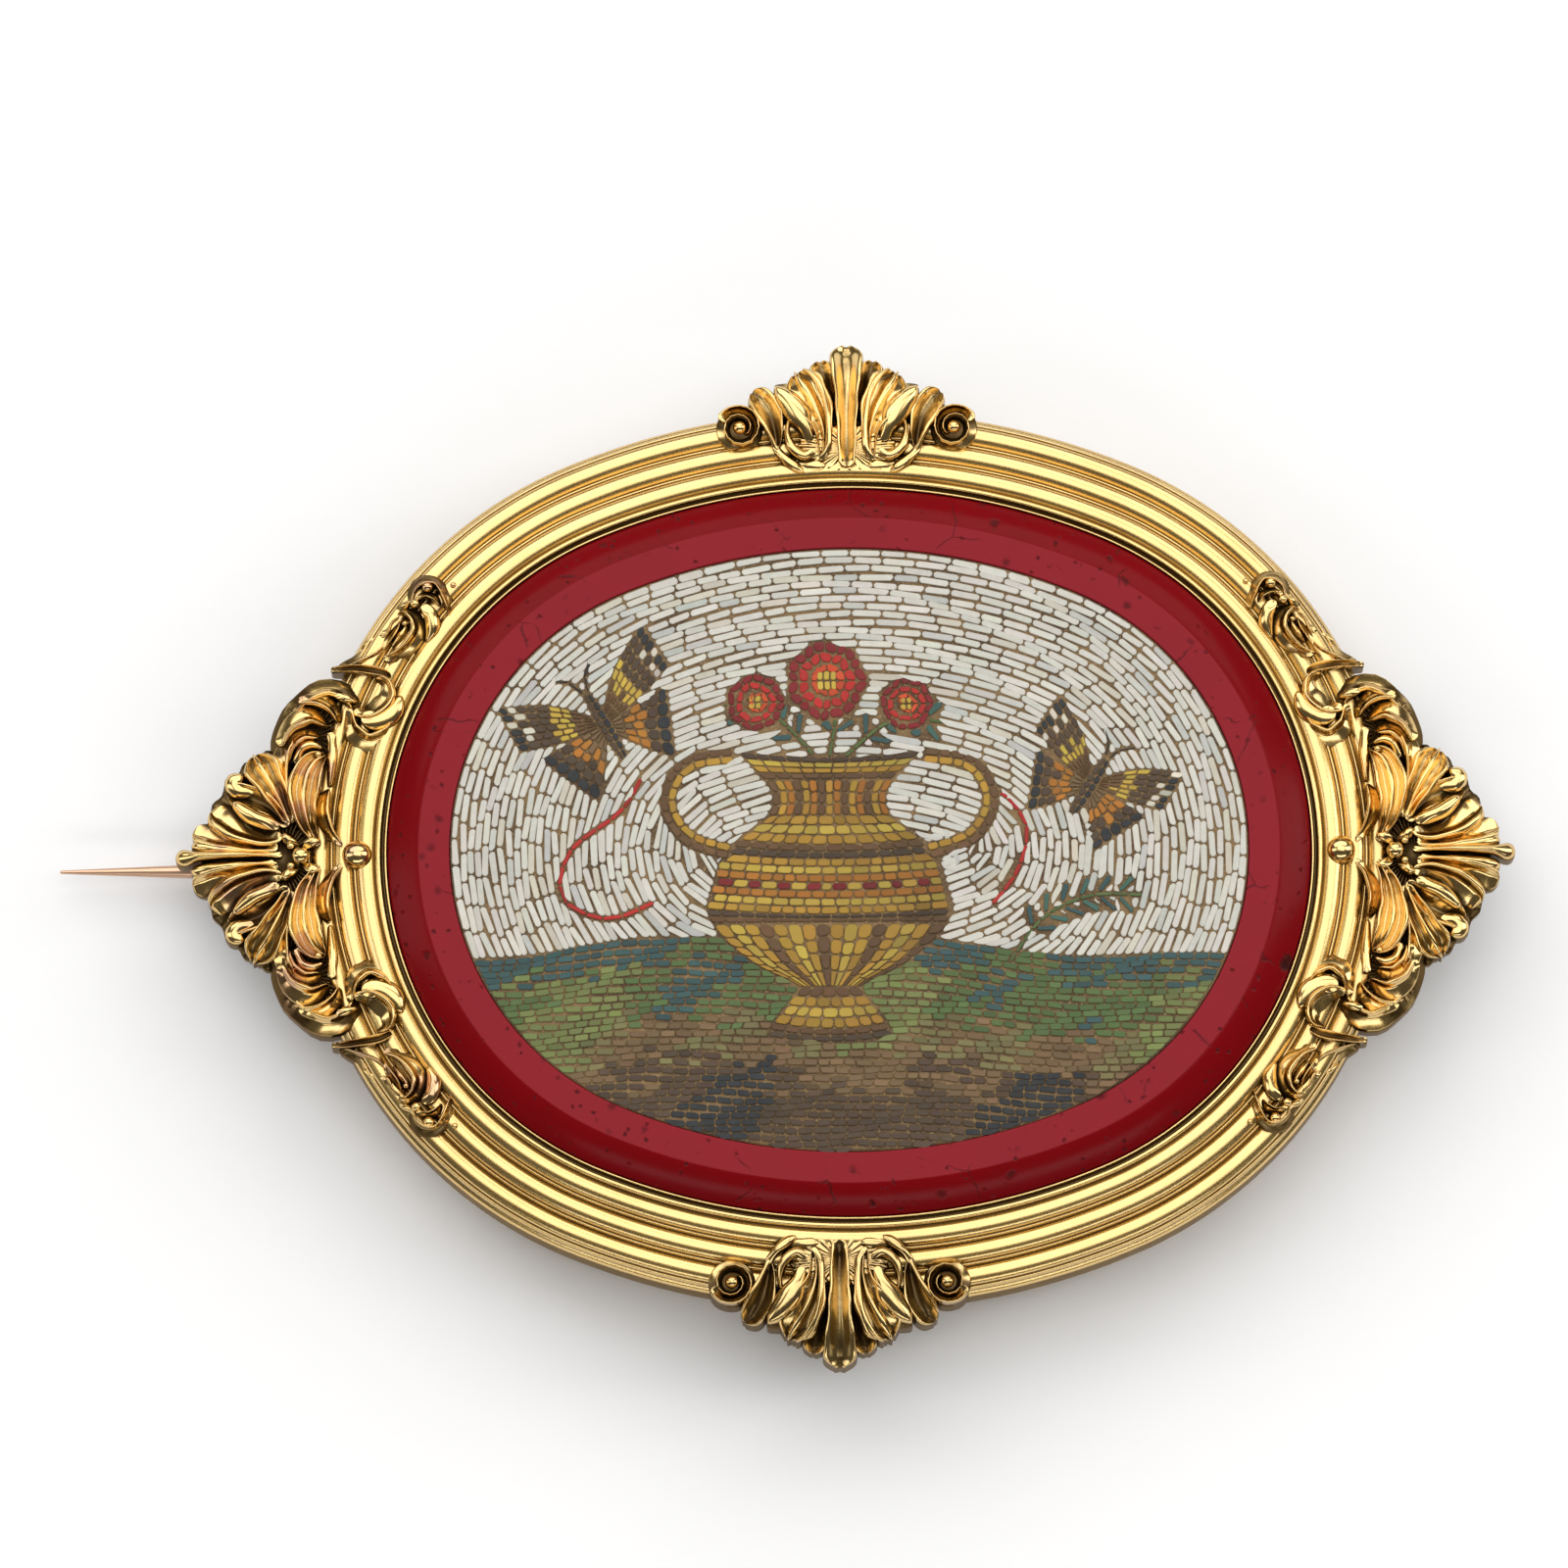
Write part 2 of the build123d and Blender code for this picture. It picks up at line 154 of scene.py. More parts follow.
@dataclass
class Soup:
    """Vertices, faces and per-vertex values that one piece is gathered from."""

    points: list[np.ndarray] = field(default_factory=list)
    faces: list[np.ndarray] = field(default_factory=list)
    values: dict[str, list[np.ndarray]] = field(default_factory=dict)
    count: int = 0

    def add(self, points: np.ndarray, faces: list[np.ndarray], **values: np.ndarray) -> None:
        """Take in one closed shell.

        Args:
            points: Vertices in millimetres about the oval's middle, one per row.
            faces: Arrays of faces, each array with one number of corners.
            values: Named values, one row per vertex.
        """
        self.points.append(points)
        for array in faces:
            self.faces.append(array + self.count)
        for name, array in values.items():
            self.values.setdefault(name, []).append(np.asarray(array, dtype=float))
        self.count += len(points)

    def mirrored(self, x: float, y: float) -> "Soup":
        """Copy the shells, turned over about one or both axes.

        Args:
            x: 1 or -1, the factor on x.
            y: 1 or -1, the factor on y.

        Returns:
            A new soup whose faces still point outwards.
        """
        flip = x * y < 0
        return Soup(
            points=[p * np.array([x, y, 1.0]) for p in self.points],
            faces=[f[:, ::-1] if flip else f for f in self.faces],
            values={name: list(arrays) for name, arrays in self.values.items()},
            count=self.count,
        )

    def join(self, other: "Soup") -> None:
        """Take in all the shells of another soup.

        Args:
            other: The soup to copy from.
        """
        self.points += other.points
        self.faces += [f + self.count for f in other.faces]
        for name, arrays in other.values.items():
            self.values.setdefault(name, []).extend(arrays)
        self.count += other.count

    def piece(self, name: str, smooth: bool = True) -> bpy.types.Object:
        """Make the Blender object, in metres and in the frame's place.

        Args:
            name: The object's name.
            smooth: Whether its faces are shaded smooth.

        Returns:
            The new object, riding on the brooch.
        """
        points = (np.concatenate(self.points) + np.array([OVAL_X, 0, 0])) * MM
        mesh = bpy.data.meshes.new(name)
        loops = np.concatenate([f.ravel() for f in self.faces]).astype(np.int32)
        sizes = np.concatenate([np.full(len(f), f.shape[1]) for f in self.faces])
        starts = np.concatenate([[0], np.cumsum(sizes)[:-1]]).astype(np.int32)
        mesh.vertices.add(len(points))
        mesh.vertices.foreach_set("co", points.ravel().astype(np.float32))
        mesh.loops.add(len(loops))
        mesh.loops.foreach_set("vertex_index", loops)
        mesh.polygons.add(len(sizes))
        mesh.polygons.foreach_set("loop_start", starts)
        mesh.polygons.foreach_set("use_smooth", np.full(len(sizes), smooth))
        mesh.update(calc_edges=True)
        mesh.validate()
        for label, arrays in self.values.items():
            data = np.concatenate(arrays)
            if data.ndim == 2:
                layer = mesh.attributes.new(label, "FLOAT_COLOR", "POINT")
                rgba = np.column_stack([data, np.ones(len(data))])
                layer.data.foreach_set("color", rgba.ravel().astype(np.float32))
            else:
                layer = mesh.attributes.new(label, "FLOAT", "POINT")
                layer.data.foreach_set("value", data.astype(np.float32))
        obj = bpy.data.objects.new(name, mesh)
        bpy.context.scene.collection.objects.link(obj)
        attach(obj, "brooch")
        log.info("%s: %d faces", name, len(sizes))
        return obj


def grid_faces(rows: int, columns: int, wrap: bool = False) -> np.ndarray:
    """List the quads of a grid of vertices stored row by row.

    Args:
        rows: Number of rows.
        columns: Number of columns.
        wrap: Whether the last column joins the first.

    Returns:
        One row of four vertex numbers per quad, anticlockwise for a grid whose
        rows run along +x and whose columns run along +y.
    """
    r = np.arange(rows - 1)[:, None] * columns
    c = np.arange(columns if wrap else columns - 1)[None, :]
    n = (c + 1) % columns
    quads = np.stack([r + c, r + columns + c, r + columns + n, r + n], axis=-1)
    return quads.reshape(-1, 4)


def ramp(x: np.ndarray, low: float, high: float) -> np.ndarray:
    """Rise smoothly from 0 to 1 between two values.

    Args:
        x: Where to read the ramp.
        low: Where it leaves 0.
        high: Where it reaches 1.

    Returns:
        The cubic 3t² - 2t³ of the clipped share t.
    """
    t = np.clip((x - low) / (high - low), 0, 1)
    return t * t * (3 - 2 * t)


def turned(offsets: np.ndarray, heights: np.ndarray, shrinks: np.ndarray, steps: int) -> np.ndarray:
    """Carry a profile round the oval.

    A point is the oval point at the profile's offset, times its shrink, at its
    height: P(angle, k) = shrink[k] * oval(angle, offset[k]).

    Args:
        offsets: Offsets of the profile's points from the plaque's edge.
        heights: Their heights.
        shrinks: Their shares of the way out from the middle.
        steps: Number of places round the oval.

    Returns:
        Vertices of the grid, one row of the profile after another.
    """
    first_angle = 1e-4
    angle = np.linspace(0, TAU, steps, endpoint=False) + first_angle
    flat = OVAL.point(angle[None, :], offsets[:, None]) * shrinks[:, None, None]
    z = np.broadcast_to(heights[:, None], flat.shape[:2])
    return np.concatenate([flat, z[..., None]], axis=-1).reshape(-1, 3)


def close_poles(points: np.ndarray, quads: np.ndarray, steps: int) -> tuple[np.ndarray, list]:
    """Shrink a turned grid's first and last rows to one vertex each.

    Args:
        points: The grid's vertices, row by row.
        quads: Its faces.
        steps: Vertices in a row.

    Returns:
        The vertices left and the faces, as quads and pole triangles.
    """
    total = len(points)
    number = np.arange(total)
    number[:steps] = 0
    number[total - steps:] = total - steps
    kept, back = np.unique(number, return_inverse=True)
    faces = back[quads]
    first = quads.max(axis=1) < 2 * steps
    last = quads.min(axis=1) >= total - 2 * steps
    ring = faces[~(first | last)]
    tri_first = faces[first][:, [0, 1, 2]]
    tri_last = faces[last][:, [0, 1, 3]]
    return points[kept], [ring, tri_first, tri_last]


def round_grid(far: np.ndarray, z: np.ndarray, steps: int) -> tuple[np.ndarray, list]:
    """Turn a profile round the upright axis; its first and last points are poles.

    Args:
        far: Distances from the axis, from the top down.
        z: Heights.
        steps: Places round the axis.

    Returns:
        Vertices and faces.
    """
    angle = np.linspace(0, TAU, steps, endpoint=False)
    x = far[:, None] * np.cos(angle)
    y = far[:, None] * np.sin(angle)
    grid = np.stack([x, y, np.broadcast_to(z[:, None], x.shape)], axis=-1).reshape(-1, 3)
    return close_poles(grid, grid_faces(len(far), steps, wrap=True), steps)


def tube_faces(rows: int, columns: int) -> list[np.ndarray]:
    """List the faces of a grid that wraps round, with a fan over each end.

    Args:
        rows: Number of rows.
        columns: Number of columns.

    Returns:
        The quads and the two fans, whose middles are the two vertices that
        follow the grid's own.
    """
    total = rows * columns
    c = np.arange(columns)
    n = (c + 1) % columns
    last = (rows - 1) * columns
    start = np.stack([np.full(columns, total), c, n], axis=-1)
    end = np.stack([np.full(columns, total + 1), last + n, last + c], axis=-1)
    return [grid_faces(rows, columns, wrap=True), start, end]


# Smooth lines


def smooth_path(knots: list[tuple[float, ...]], step: float = 0.06) -> np.ndarray:
    """Draw a smooth line through given points.

    Each span is the Catmull-Rom cubic of its four nearest points; the line is
    then resampled at an even step.

    Args:
        knots: The points that the line passes: x, y and any further values.
        step: Distance between the samples.

    Returns:
        Points along the line, one per row.
    """
    p = np.array([knots[0], *knots, knots[-1]], dtype=float)
    t = np.linspace(0, 1, 24, endpoint=False)[:, None]
    a, b, c, d = p[:-3, None], p[1:-2, None], p[2:-1, None], p[3:, None]
    square = 2 * a - 5 * b + 4 * c - d
    cube = 3 * b - a - 3 * c + d
    spans = 0.5 * (2 * b + (c - a) * t + square * t**2 + cube * t**3)
    line = np.concatenate([spans.reshape(-1, p.shape[1]), p[-2:-1]])
    length = run_length(line)
    even = np.linspace(0, length[-1], max(4, int(length[-1] / step)))
    return np.stack([np.interp(even, length, column) for column in line.T], axis=-1)


def resampled(line: np.ndarray, shares: np.ndarray) -> np.ndarray:
    """Read a line at shares of the way through its list of points."""
    place = np.linspace(0, 1, len(line))
    return np.stack([np.interp(shares, place, column) for column in line.T], axis=-1)


def run_length(line: np.ndarray) -> np.ndarray:
    """Add up the distance along a line of points."""
    return np.concatenate([[0], np.cumsum(np.hypot(*np.diff(line[:, :2], axis=0).T))])


def headings(line: np.ndarray, *spacing: np.ndarray) -> tuple[np.ndarray, np.ndarray]:
    """Find a line's unit directions and the unit normals to its left.

    Args:
        line: Points along the line, as x and y.
        spacing: The parameter at each point, where it isn't even.

    Returns:
        The directions and the normals, one of each per point.
    """
    along = np.gradient(line, *spacing, axis=0)
    along = along / np.linalg.norm(along, axis=1, keepdims=True)
    return along, np.stack([-along[:, 1], along[:, 0]], axis=-1)


def beside(line: np.ndarray, distance: np.ndarray | float) -> np.ndarray:
    """Shift a line to its left.

    Args:
        line: Points along the line.
        distance: How far, for all or for each point.

    Returns:
        The shifted points.
    """
    normal = headings(line)[1]
    return line + normal * np.broadcast_to(distance, len(line))[:, None]


# Shader nodes


class Sock:
    """A shader socket that takes part in Python arithmetic."""

    def __init__(self, shader: "Shader", socket: bpy.types.NodeSocket) -> None:
        """Keep the socket and the shader that it belongs to."""
        self.shader = shader
        self.socket = socket

    def _math(self, operation: str, *values: "Sock | float") -> "Sock":
        """Add a Math node."""
        return self.shader.node("ShaderNodeMath", {"operation": operation}, dict(enumerate(values)))

    def __add__(self, other: "Sock | float") -> "Sock":
        """Add."""
        return self._math("ADD", self, other)

    __radd__ = __add__

    def __sub__(self, other: "Sock | float") -> "Sock":
        """Subtract."""
        return self._math("SUBTRACT", self, other)

    def __rsub__(self, other: float) -> "Sock":
        """Subtract from a number."""
        return self._math("SUBTRACT", other, self)

    def __mul__(self, other: "Sock | float") -> "Sock":
        """Multiply."""
        return self._math("MULTIPLY", self, other)

    __rmul__ = __mul__

    def clamp(self, low: float, high: float) -> "Sock":
        """Stretch the span from low to high over 0 to 1, smoothly."""
        settings = {"interpolation_type": "SMOOTHSTEP"}
        inputs = {"Value": self, "From Min": low, "From Max": high}
        return self.shader.node("ShaderNodeMapRange", settings, inputs)


class Shader:
    """One material's nodes round a Principled shader."""

    def __init__(self, name: str) -> None:
        """Make the material and clear its nodes.

        Args:
            name: The material's name.
        """
        self.material = bpy.data.materials.new(name)
        self.material.use_nodes = True
        self.tree = self.material.node_tree
        self.tree.nodes.clear()
        self.surface = self.tree.nodes.new("ShaderNodeBsdfPrincipled")
        output = self.tree.nodes.new("ShaderNodeOutputMaterial")
        self.tree.links.new(self.surface.outputs["BSDF"], output.inputs["Surface"])
        self.place = self.node("ShaderNodeTexCoord", {}, {}, "Object")

    def node(self, kind: str, settings: dict, inputs: dict, output: str | int = 0) -> Sock:
        """Add a node.

        Args:
            kind: The node's type.
            settings: Its properties, set before its sockets.
            inputs: Values or sockets by input name or number.
            output: The output to give back.

        Returns:
            The output as a socket for arithmetic.
        """
        made = self.tree.nodes.new(kind)
        for name, value in settings.items():
            setattr(made, name, value)
        for name, value in inputs.items():
            self.put(made.inputs[name], value)
        return Sock(self, made.outputs[output])

    def put(self, socket: bpy.types.NodeSocket, value: "Sock | float | tuple") -> None:
        """Link or set an input.

        Args:
            socket: The input.
            value: A socket to link, or a constant.
        """
        if isinstance(value, Sock):
            self.tree.links.new(value.socket, socket)
        elif isinstance(value, tuple) and len(value) == 3 and len(socket.default_value) == 4:
            socket.default_value = (*value, 1)
        else:
            socket.default_value = value

    def noise(self, scale: float, detail: float = 4, rough: float = 0.55, **options: "Sock | str") -> Sock:
        """Add a noise.

        Args:
            scale: How many of its cells make a metre.
            detail: Its octaves.
            rough: How strong the finer octaves are.
            options: place, where it isn't read at the shader's own place, and
                output, where that isn't the noise's value.

        Returns:
            The noise.
        """
        place = options.get("place", self.place)
        inputs = {"Vector": place, "Scale": scale, "Detail": detail, "Roughness": rough}
        return self.node("ShaderNodeTexNoise", {}, inputs, options.get("output", 0))

    def spots(self, scale: float, feature: str = "F1") -> Sock:
        """Add Voronoi distances of a scale per metre."""
        inputs = {"Vector": self.place, "Scale": scale}
        return self.node("ShaderNodeTexVoronoi", {"feature": feature}, inputs, "Distance")

    def value(self, name: str, output: str = "Fac") -> Sock:
        """Read a value that the mesh carries."""
        return self.node("ShaderNodeAttribute", {"attribute_name": name}, {}, output)

    def mix(self, factor: "Sock | float", first: "Sock | tuple", second: "Sock | tuple") -> Sock:
        """Mix two colours.

        Args:
            factor: Share of the second colour.
            first: The first colour.
            second: The second colour.

        Returns:
            The mixed colour.
        """
        inputs = {0: factor, 6: first, 7: second}
        return self.node("ShaderNodeMix", {"data_type": "RGBA"}, inputs, 2)

    def bump(self, height: Sock, distance: float) -> None:
        """Bump the surface by a height.

        Args:
            height: The height's shape, from 0 to 1.
            distance: What 1 stands for, in metres.
        """
        inputs = {"Height": height, "Distance": distance}
        self.put(self.surface.inputs["Normal"], self.node("ShaderNodeBump", {}, inputs, "Normal"))

    def finish(self, **inputs: "Sock | float | tuple") -> bpy.types.Material:
        """Set the surface's inputs.

        Args:
            inputs: Values or sockets, by input name with underscores for spaces.

        Returns:
            The finished material.
        """
        for name, value in inputs.items():
            self.put(self.surface.inputs[name.replace("_", " ")], value)
        return self.material


# Finishes: colours are linear red, green and blue, and scales are per metre


@dataclass(frozen=True)
class Gold:
    """Gold with clouds of a deeper tone, fine grain, scratches, and patina with painted shade.

    The polish is a clear coat over the metal. On carved gold the mesh says
    where the recesses are: there a dark colour, patina with painted shade,
    covers the metal and the coat fades out.
    """

    name: str
    colour: tuple = (0.80, 0.54, 0.175)
    deep: tuple = (0.58, 0.335, 0.080)
    patina_and_shade: tuple = (0.035, 0.015, 0.005)
    rosy: tuple = (0.46, 0.225, 0.135)
    glance: tuple = (0.62, 0.46, 0.25)
    roughness: float = 0.13
    patina_and_shade_share: float = 0.9
    blush: float = 0.0
    speckle: float = 0.16
    polish: float = 0.8
    carved: bool = True

    def make(self) -> bpy.types.Material:
        """Build the material.

        Returns:
            The gold.
        """
        shader = Shader(self.name)
        cloud = shader.noise(300)
        grain = shader.noise(5200, 3, 0.65)
        drawn_out = {"Vector": shader.place, "Scale": (1.0, 9.0, 1.0)}
        brushed = shader.node("ShaderNodeMapping", {}, drawn_out)
        scratch = shader.noise(2600, 3, 0.5, place=brushed)
        tint = shader.mix(cloud.clamp(0.40, 0.75) * 0.35, self.colour, self.deep)
        if self.blush:
            blush = shader.noise(420, 3).clamp(0.52, 0.66) * self.blush
            tint = shader.mix(blush, tint, self.rosy)
        roughness = self.roughness + grain * 0.08
        metallic, lacquer = 1.0, self.polish
        if self.carved:
            # The recess darkens the gold towards its dark colour: patina, with painted shade in the hollows.
            recess = shader.value("recess")
            broken = recess + (cloud - 0.5) * 0.30 + (grain - 0.5) * self.speckle
            dark = broken.clamp(0.20, 0.62) * self.patina_and_shade_share
            tint = shader.mix(dark, tint, self.patina_and_shade)
            roughness = roughness + dark * 0.16
            metallic = 1.0 - dark * 0.12
            lacquer = 1.0 - dark
        shader.bump(grain * 0.4 + scratch * 0.5, 0.0025 * MM)
        return shader.finish(
            Base_Color=tint,
            Metallic=metallic,
            Roughness=roughness,
            Specular_Tint=self.glance,
            Coat_Weight=lacquer,
            Coat_Roughness=0.10,
            Coat_IOR=1.72,
        )


@dataclass(frozen=True)
class RedGlass:
    """Opaque crimson glass: glossy, pitted, with dark specks, fine cracks and a chip."""

    name: str = "red_glass_finish"
    colour: tuple = (0.195, 0.0030, 0.0055)
    worn: tuple = (0.270, 0.015, 0.023)
    speck: tuple = (0.035, 0.008, 0.008)
    chip: tuple = (20.3, -5.35, 7.1)
    wander: tuple = (0.5 * MM, 0.5 * MM, 0.0)

    def pits(self, shader: Shader, scale: float, size: tuple, patches: float) -> Sock:
        """Scatter round pits in patches.

        Args:
            shader: The material's shader.
            scale: The pits' cells per metre.
            size: Shares of a cell where a pit's slope starts and ends.
            patches: The patches' cells per metre.

        Returns:
            1 in a pit and 0 off it.
        """
        return (1.0 - shader.spots(scale).clamp(*size)) * shader.noise(patches, 2).clamp(0.42, 0.54)

    def make(self) -> bpy.types.Material:
        """Build the material: the ground-down flat is paler than the bevel, from wear and a painted sheen of
        reflected light.

        Returns:
            The glass.
        """
        shader = Shader(self.name)
        cloud = shader.noise(300)
        fine = shader.noise(2600, 3)
        straight = shader.place
        stray = shader.noise(1600, 3, 0.5, output="Color")
        shader.place = shader.node(
            "ShaderNodeVectorMath", {"operation": "MULTIPLY_ADD"},
            {0: stray, 1: self.wander, 2: straight}, "Vector",
        )
        fine_pits = self.pits(shader, 1700, (0.06, 0.24), 800)
        holes = fine_pits * 0.9 + self.pits(shader, 640, (0.05, 0.20), 350) * 0.75
        crack = 1.0 - shader.spots(260, "DISTANCE_TO_EDGE").clamp(0.002, 0.012)
        cracks = crack * shader.noise(420, 2).clamp(0.54, 0.64)
        place = tuple((np.array(self.chip) + [OVAL_X, 0, 0]) * MM)
        far = shader.node(
            "ShaderNodeVectorMath", {"operation": "DISTANCE"}, {0: straight, 1: place}, "Value"
        )
        chip = 1.0 - (far + fine * (0.4 * MM)).clamp(0.45 * MM, 0.7 * MM)
        # The flat's paler colour is wear with a painted sheen of reflected light.
        worn = shader.value("worn") * (0.75 + cloud * 0.5)
        colour = shader.mix(worn, self.colour, self.worn)
        for share in ((cloud - 0.35) * 0.25, holes * 0.85, cracks * 0.6, chip * 0.9):
            colour = shader.mix(share, colour, self.speck)
        height = (1.0 - holes) * 1.0 + (1.0 - cracks) * 0.3 + fine * 0.04 + cloud * 0.25 - chip
        shader.bump(height, 0.03 * MM)
        return shader.finish(
            Base_Color=colour,
            Roughness=0.17 + fine * 0.08 + holes * 0.4 + worn * 0.12,
            Specular_IOR_Level=0.07,
            IOR=1.52,
        )


@dataclass(frozen=True)
class Tessera:
    """Glass sticks, each with the colour that its mesh carries and a dusty, worn edge."""

    name: str
    roughness: float = 0.34
    dust: tuple = (0.16, 0.13, 0.09)
    edge: tuple = (0.22, 0.17, 0.10)

    def make(self) -> bpy.types.Material:
        """Build the material.

        Returns:
            The glass of the tesserae.
        """
        shader = Shader(self.name)
        streak = shader.noise(2600)
        fine = shader.noise(9000, 3)
        worn = shader.value("edge").clamp(0.2, 0.9)
        colour = shader.value("glass", "Color")
        shade = shader.mix((streak - 0.3) * 0.32, colour, self.dust)
        shade = shader.mix(worn * 0.35, shade, self.edge)
        shader.bump(streak * 0.6 + fine * 0.4, 0.012 * MM)
        return shader.finish(
            Base_Color=shade,
            Roughness=self.roughness + fine * 0.2,
            Specular_IOR_Level=0.22,
            IOR=1.5,
        )


@dataclass(frozen=True)
class Mastic:
    """Brown grout with pale crumbs."""

    name: str = "mastic_finish"
    brown: tuple = (0.24, 0.15, 0.065)
    dark: tuple = (0.10, 0.058, 0.027)
    crumb: tuple = (0.40, 0.28, 0.14)

    def make(self) -> bpy.types.Material:
        """Build the material.

        Returns:
            The mastic.
        """
        shader = Shader(self.name)
        cloud = shader.noise(500)
        crumb = shader.noise(7000, 4, 0.7)
        colour = shader.mix(cloud.clamp(0.35, 0.65), self.brown, self.dark)
        colour = shader.mix(crumb.clamp(0.5, 0.75), colour, self.crumb)
        shader.bump(crumb, 0.05 * MM)
        return shader.finish(Base_Color=colour, Roughness=0.75 + crumb * 0.2)


# The gold border


@dataclass
class Border:
    """The hollow reeded border: a rounded profile carried round the oval."""

    lip: float = 0.05
    lip_width: float = 0.09
    bezel_inner: float = 0.34
    bezel_outer: float = 0.55
    bezel_top: float = PLAQUE_TOP - 0.8
    groove: float = 0.75
    ease: float = 0.05
    reeds: int = 3
    reed_half: float = 0.44
    reed_rise: float = 0.30
    reed_pitch: float = 1.07
    reed_step: float = 0.34
    reed_points: int = 15
    fillet: float = 0.055
    fillet_points: int = 6
    first_reed: float = 1.0
    flange: float = 3.78
    skirt: float = 0.24
    wall: float = 0.60
    hollow: float = 0.55
    ledge: float = -1.1
    clearance: float = 0.08
    steps: int = 640
    finish: Gold = Gold("border_gold", roughness=0.23, patina_and_shade_share=0.8, speckle=0.09)

    def bezel(self) -> list[tuple[float, float, float]]:
        """Draw the thin lip by the plaque, the dark groove and the flat bezel."""
        top, lip = self.bezel_top, self.lip
        return [
            (lip, top - 0.9, 1.0),
            (lip, top - self.ease, 0.5),
            (lip + 0.015, top - 0.015, 0.0),
            (lip + self.lip_width - 0.015, top - 0.015, 0.0),
            (lip + self.lip_width, top - self.ease, 0.6),
            # A recess of 1 darkens the groove by the plaque: painted shade in the gap.
            (lip + self.lip_width + 0.005, top - self.groove, 1.0),
            (self.bezel_inner - 0.02, top - self.groove, 1.0),
            (self.bezel_inner, top - self.ease, 0.8),
            (self.bezel_inner + 0.03, top, 0.0),
            (self.bezel_outer - 0.06, top, 0.0),
            (self.bezel_outer, top - 0.07, 0.3),
        ]

    def reed(self, middle: float, foot: float) -> list[tuple[float, float, float]]:
        """Draw a reed, half a low ellipse, and the fine round fillet after it.

        Args:
            middle: Offset of the reed's middle.
            foot: Height of its foot.

        Returns:
            Offset, height and recess of each point.
        """
        rows = [(middle - self.reed_half - 0.03, foot - 0.04, 0.9)]
        for angle in np.linspace(np.pi, 0, self.reed_points):
            x = middle + self.reed_half * np.cos(angle)
            z = foot + self.reed_rise * np.sin(angle)
            # The recess rises towards the reed's feet: painted shade in the valleys, with patina.
            rows.append((x, z, 0.8 * (1 - np.sin(angle)) ** 4))
        crest = middle + self.reed_half + 0.09
        rows.append((crest - self.fillet - 0.01, foot - 0.13, 0.9))
        for angle in np.linspace(np.pi * 0.95, 0.05, self.fillet_points):
            x = crest + self.fillet * np.cos(angle)
            z = foot - 0.11 + self.fillet * np.sin(angle)
            rows.append((x, z, 0.0))
        return rows

    def outside(self, end: float) -> list[tuple[float, float, float]]:
        """Draw the last step, the sloping skirt, the foot and the hollow underside.

        Args:
            end: Height of the last reed's foot.

        Returns:
            Offset, height and recess of each point.
        """
        flange, rim, roof = self.flange, self.flange + self.skirt, FRAME_FOOT + self.hollow
        seat = PLAQUE_FOOT - self.clearance
        return [
            (flange - 0.04, end - 0.17, 0.2),
            (flange, end - 0.24, 0.1),
            (flange - 0.02, end - 0.34, 0.3),
            (flange - 0.05, end - 0.42, 0.5),
            (flange + 0.05, end - 0.45, 0.1),
            (flange + 0.15, end - 0.53, 0.0),
            (rim - 0.03, end - 0.66, 0.1),
            # The lower skirt's high recess darkens it: painted shade of an underside.
            (rim, end - 0.85, 0.7),
            (rim, BACK_TOP + 0.1, 0.8),
            (rim - 0.03, FRAME_FOOT + 0.04, 0.1),
            (rim - 0.08, FRAME_FOOT, 0.1),
            (flange - self.wall, FRAME_FOOT, 0.2),
            (flange - self.wall - 0.02, roof, 0.8),
            (flange - 1.0, roof, 0.9),
            (self.ledge, roof, 0.9),
            (self.ledge, seat, 0.9),
            (self.lip, seat, 0.9),
        ]

    def profile(self) -> tuple[np.ndarray, np.ndarray]:
        """Draw the whole section, outside first and then the hollow underside.

        Returns:
            Offsets with heights, one point per row, and each point's recess, which
            darkens the gold: painted shade in the groove, the reeds' valleys and the
            lower skirt, with patina.
        """
        rows = self.bezel()
        floor = self.bezel_top - self.reed_rise - 0.16
        for number in range(self.reeds):
            middle = self.first_reed + number * self.reed_pitch
            rows += self.reed(middle, floor - number * self.reed_step)
        rows += self.outside(floor - (self.reeds - 1) * self.reed_step)
        table = np.array(rows)
        return table[:, :2], table[:, 2]

    def dress(self, piece: bpy.types.Object) -> None:
        """Give the border its gold and hide the solid that it stands for."""
        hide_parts("gold_frame")
        piece.data.materials.append(self.finish.make())

    def build(self) -> bpy.types.Object:
        """Make the border.

        Returns:
            The finished piece.
        """
        section, recess = self.profile()
        count = len(section)
        points = turned(section[:, 0], section[:, 1], np.ones(count), self.steps)
        faces = grid_faces(count + 1, self.steps, wrap=True) % (count * self.steps)
        soup = Soup()
        soup.add(points, [faces], recess=np.repeat(recess, self.steps))
        piece = soup.piece("reeded_border")
        self.dress(piece)
        return piece


# The red plaque


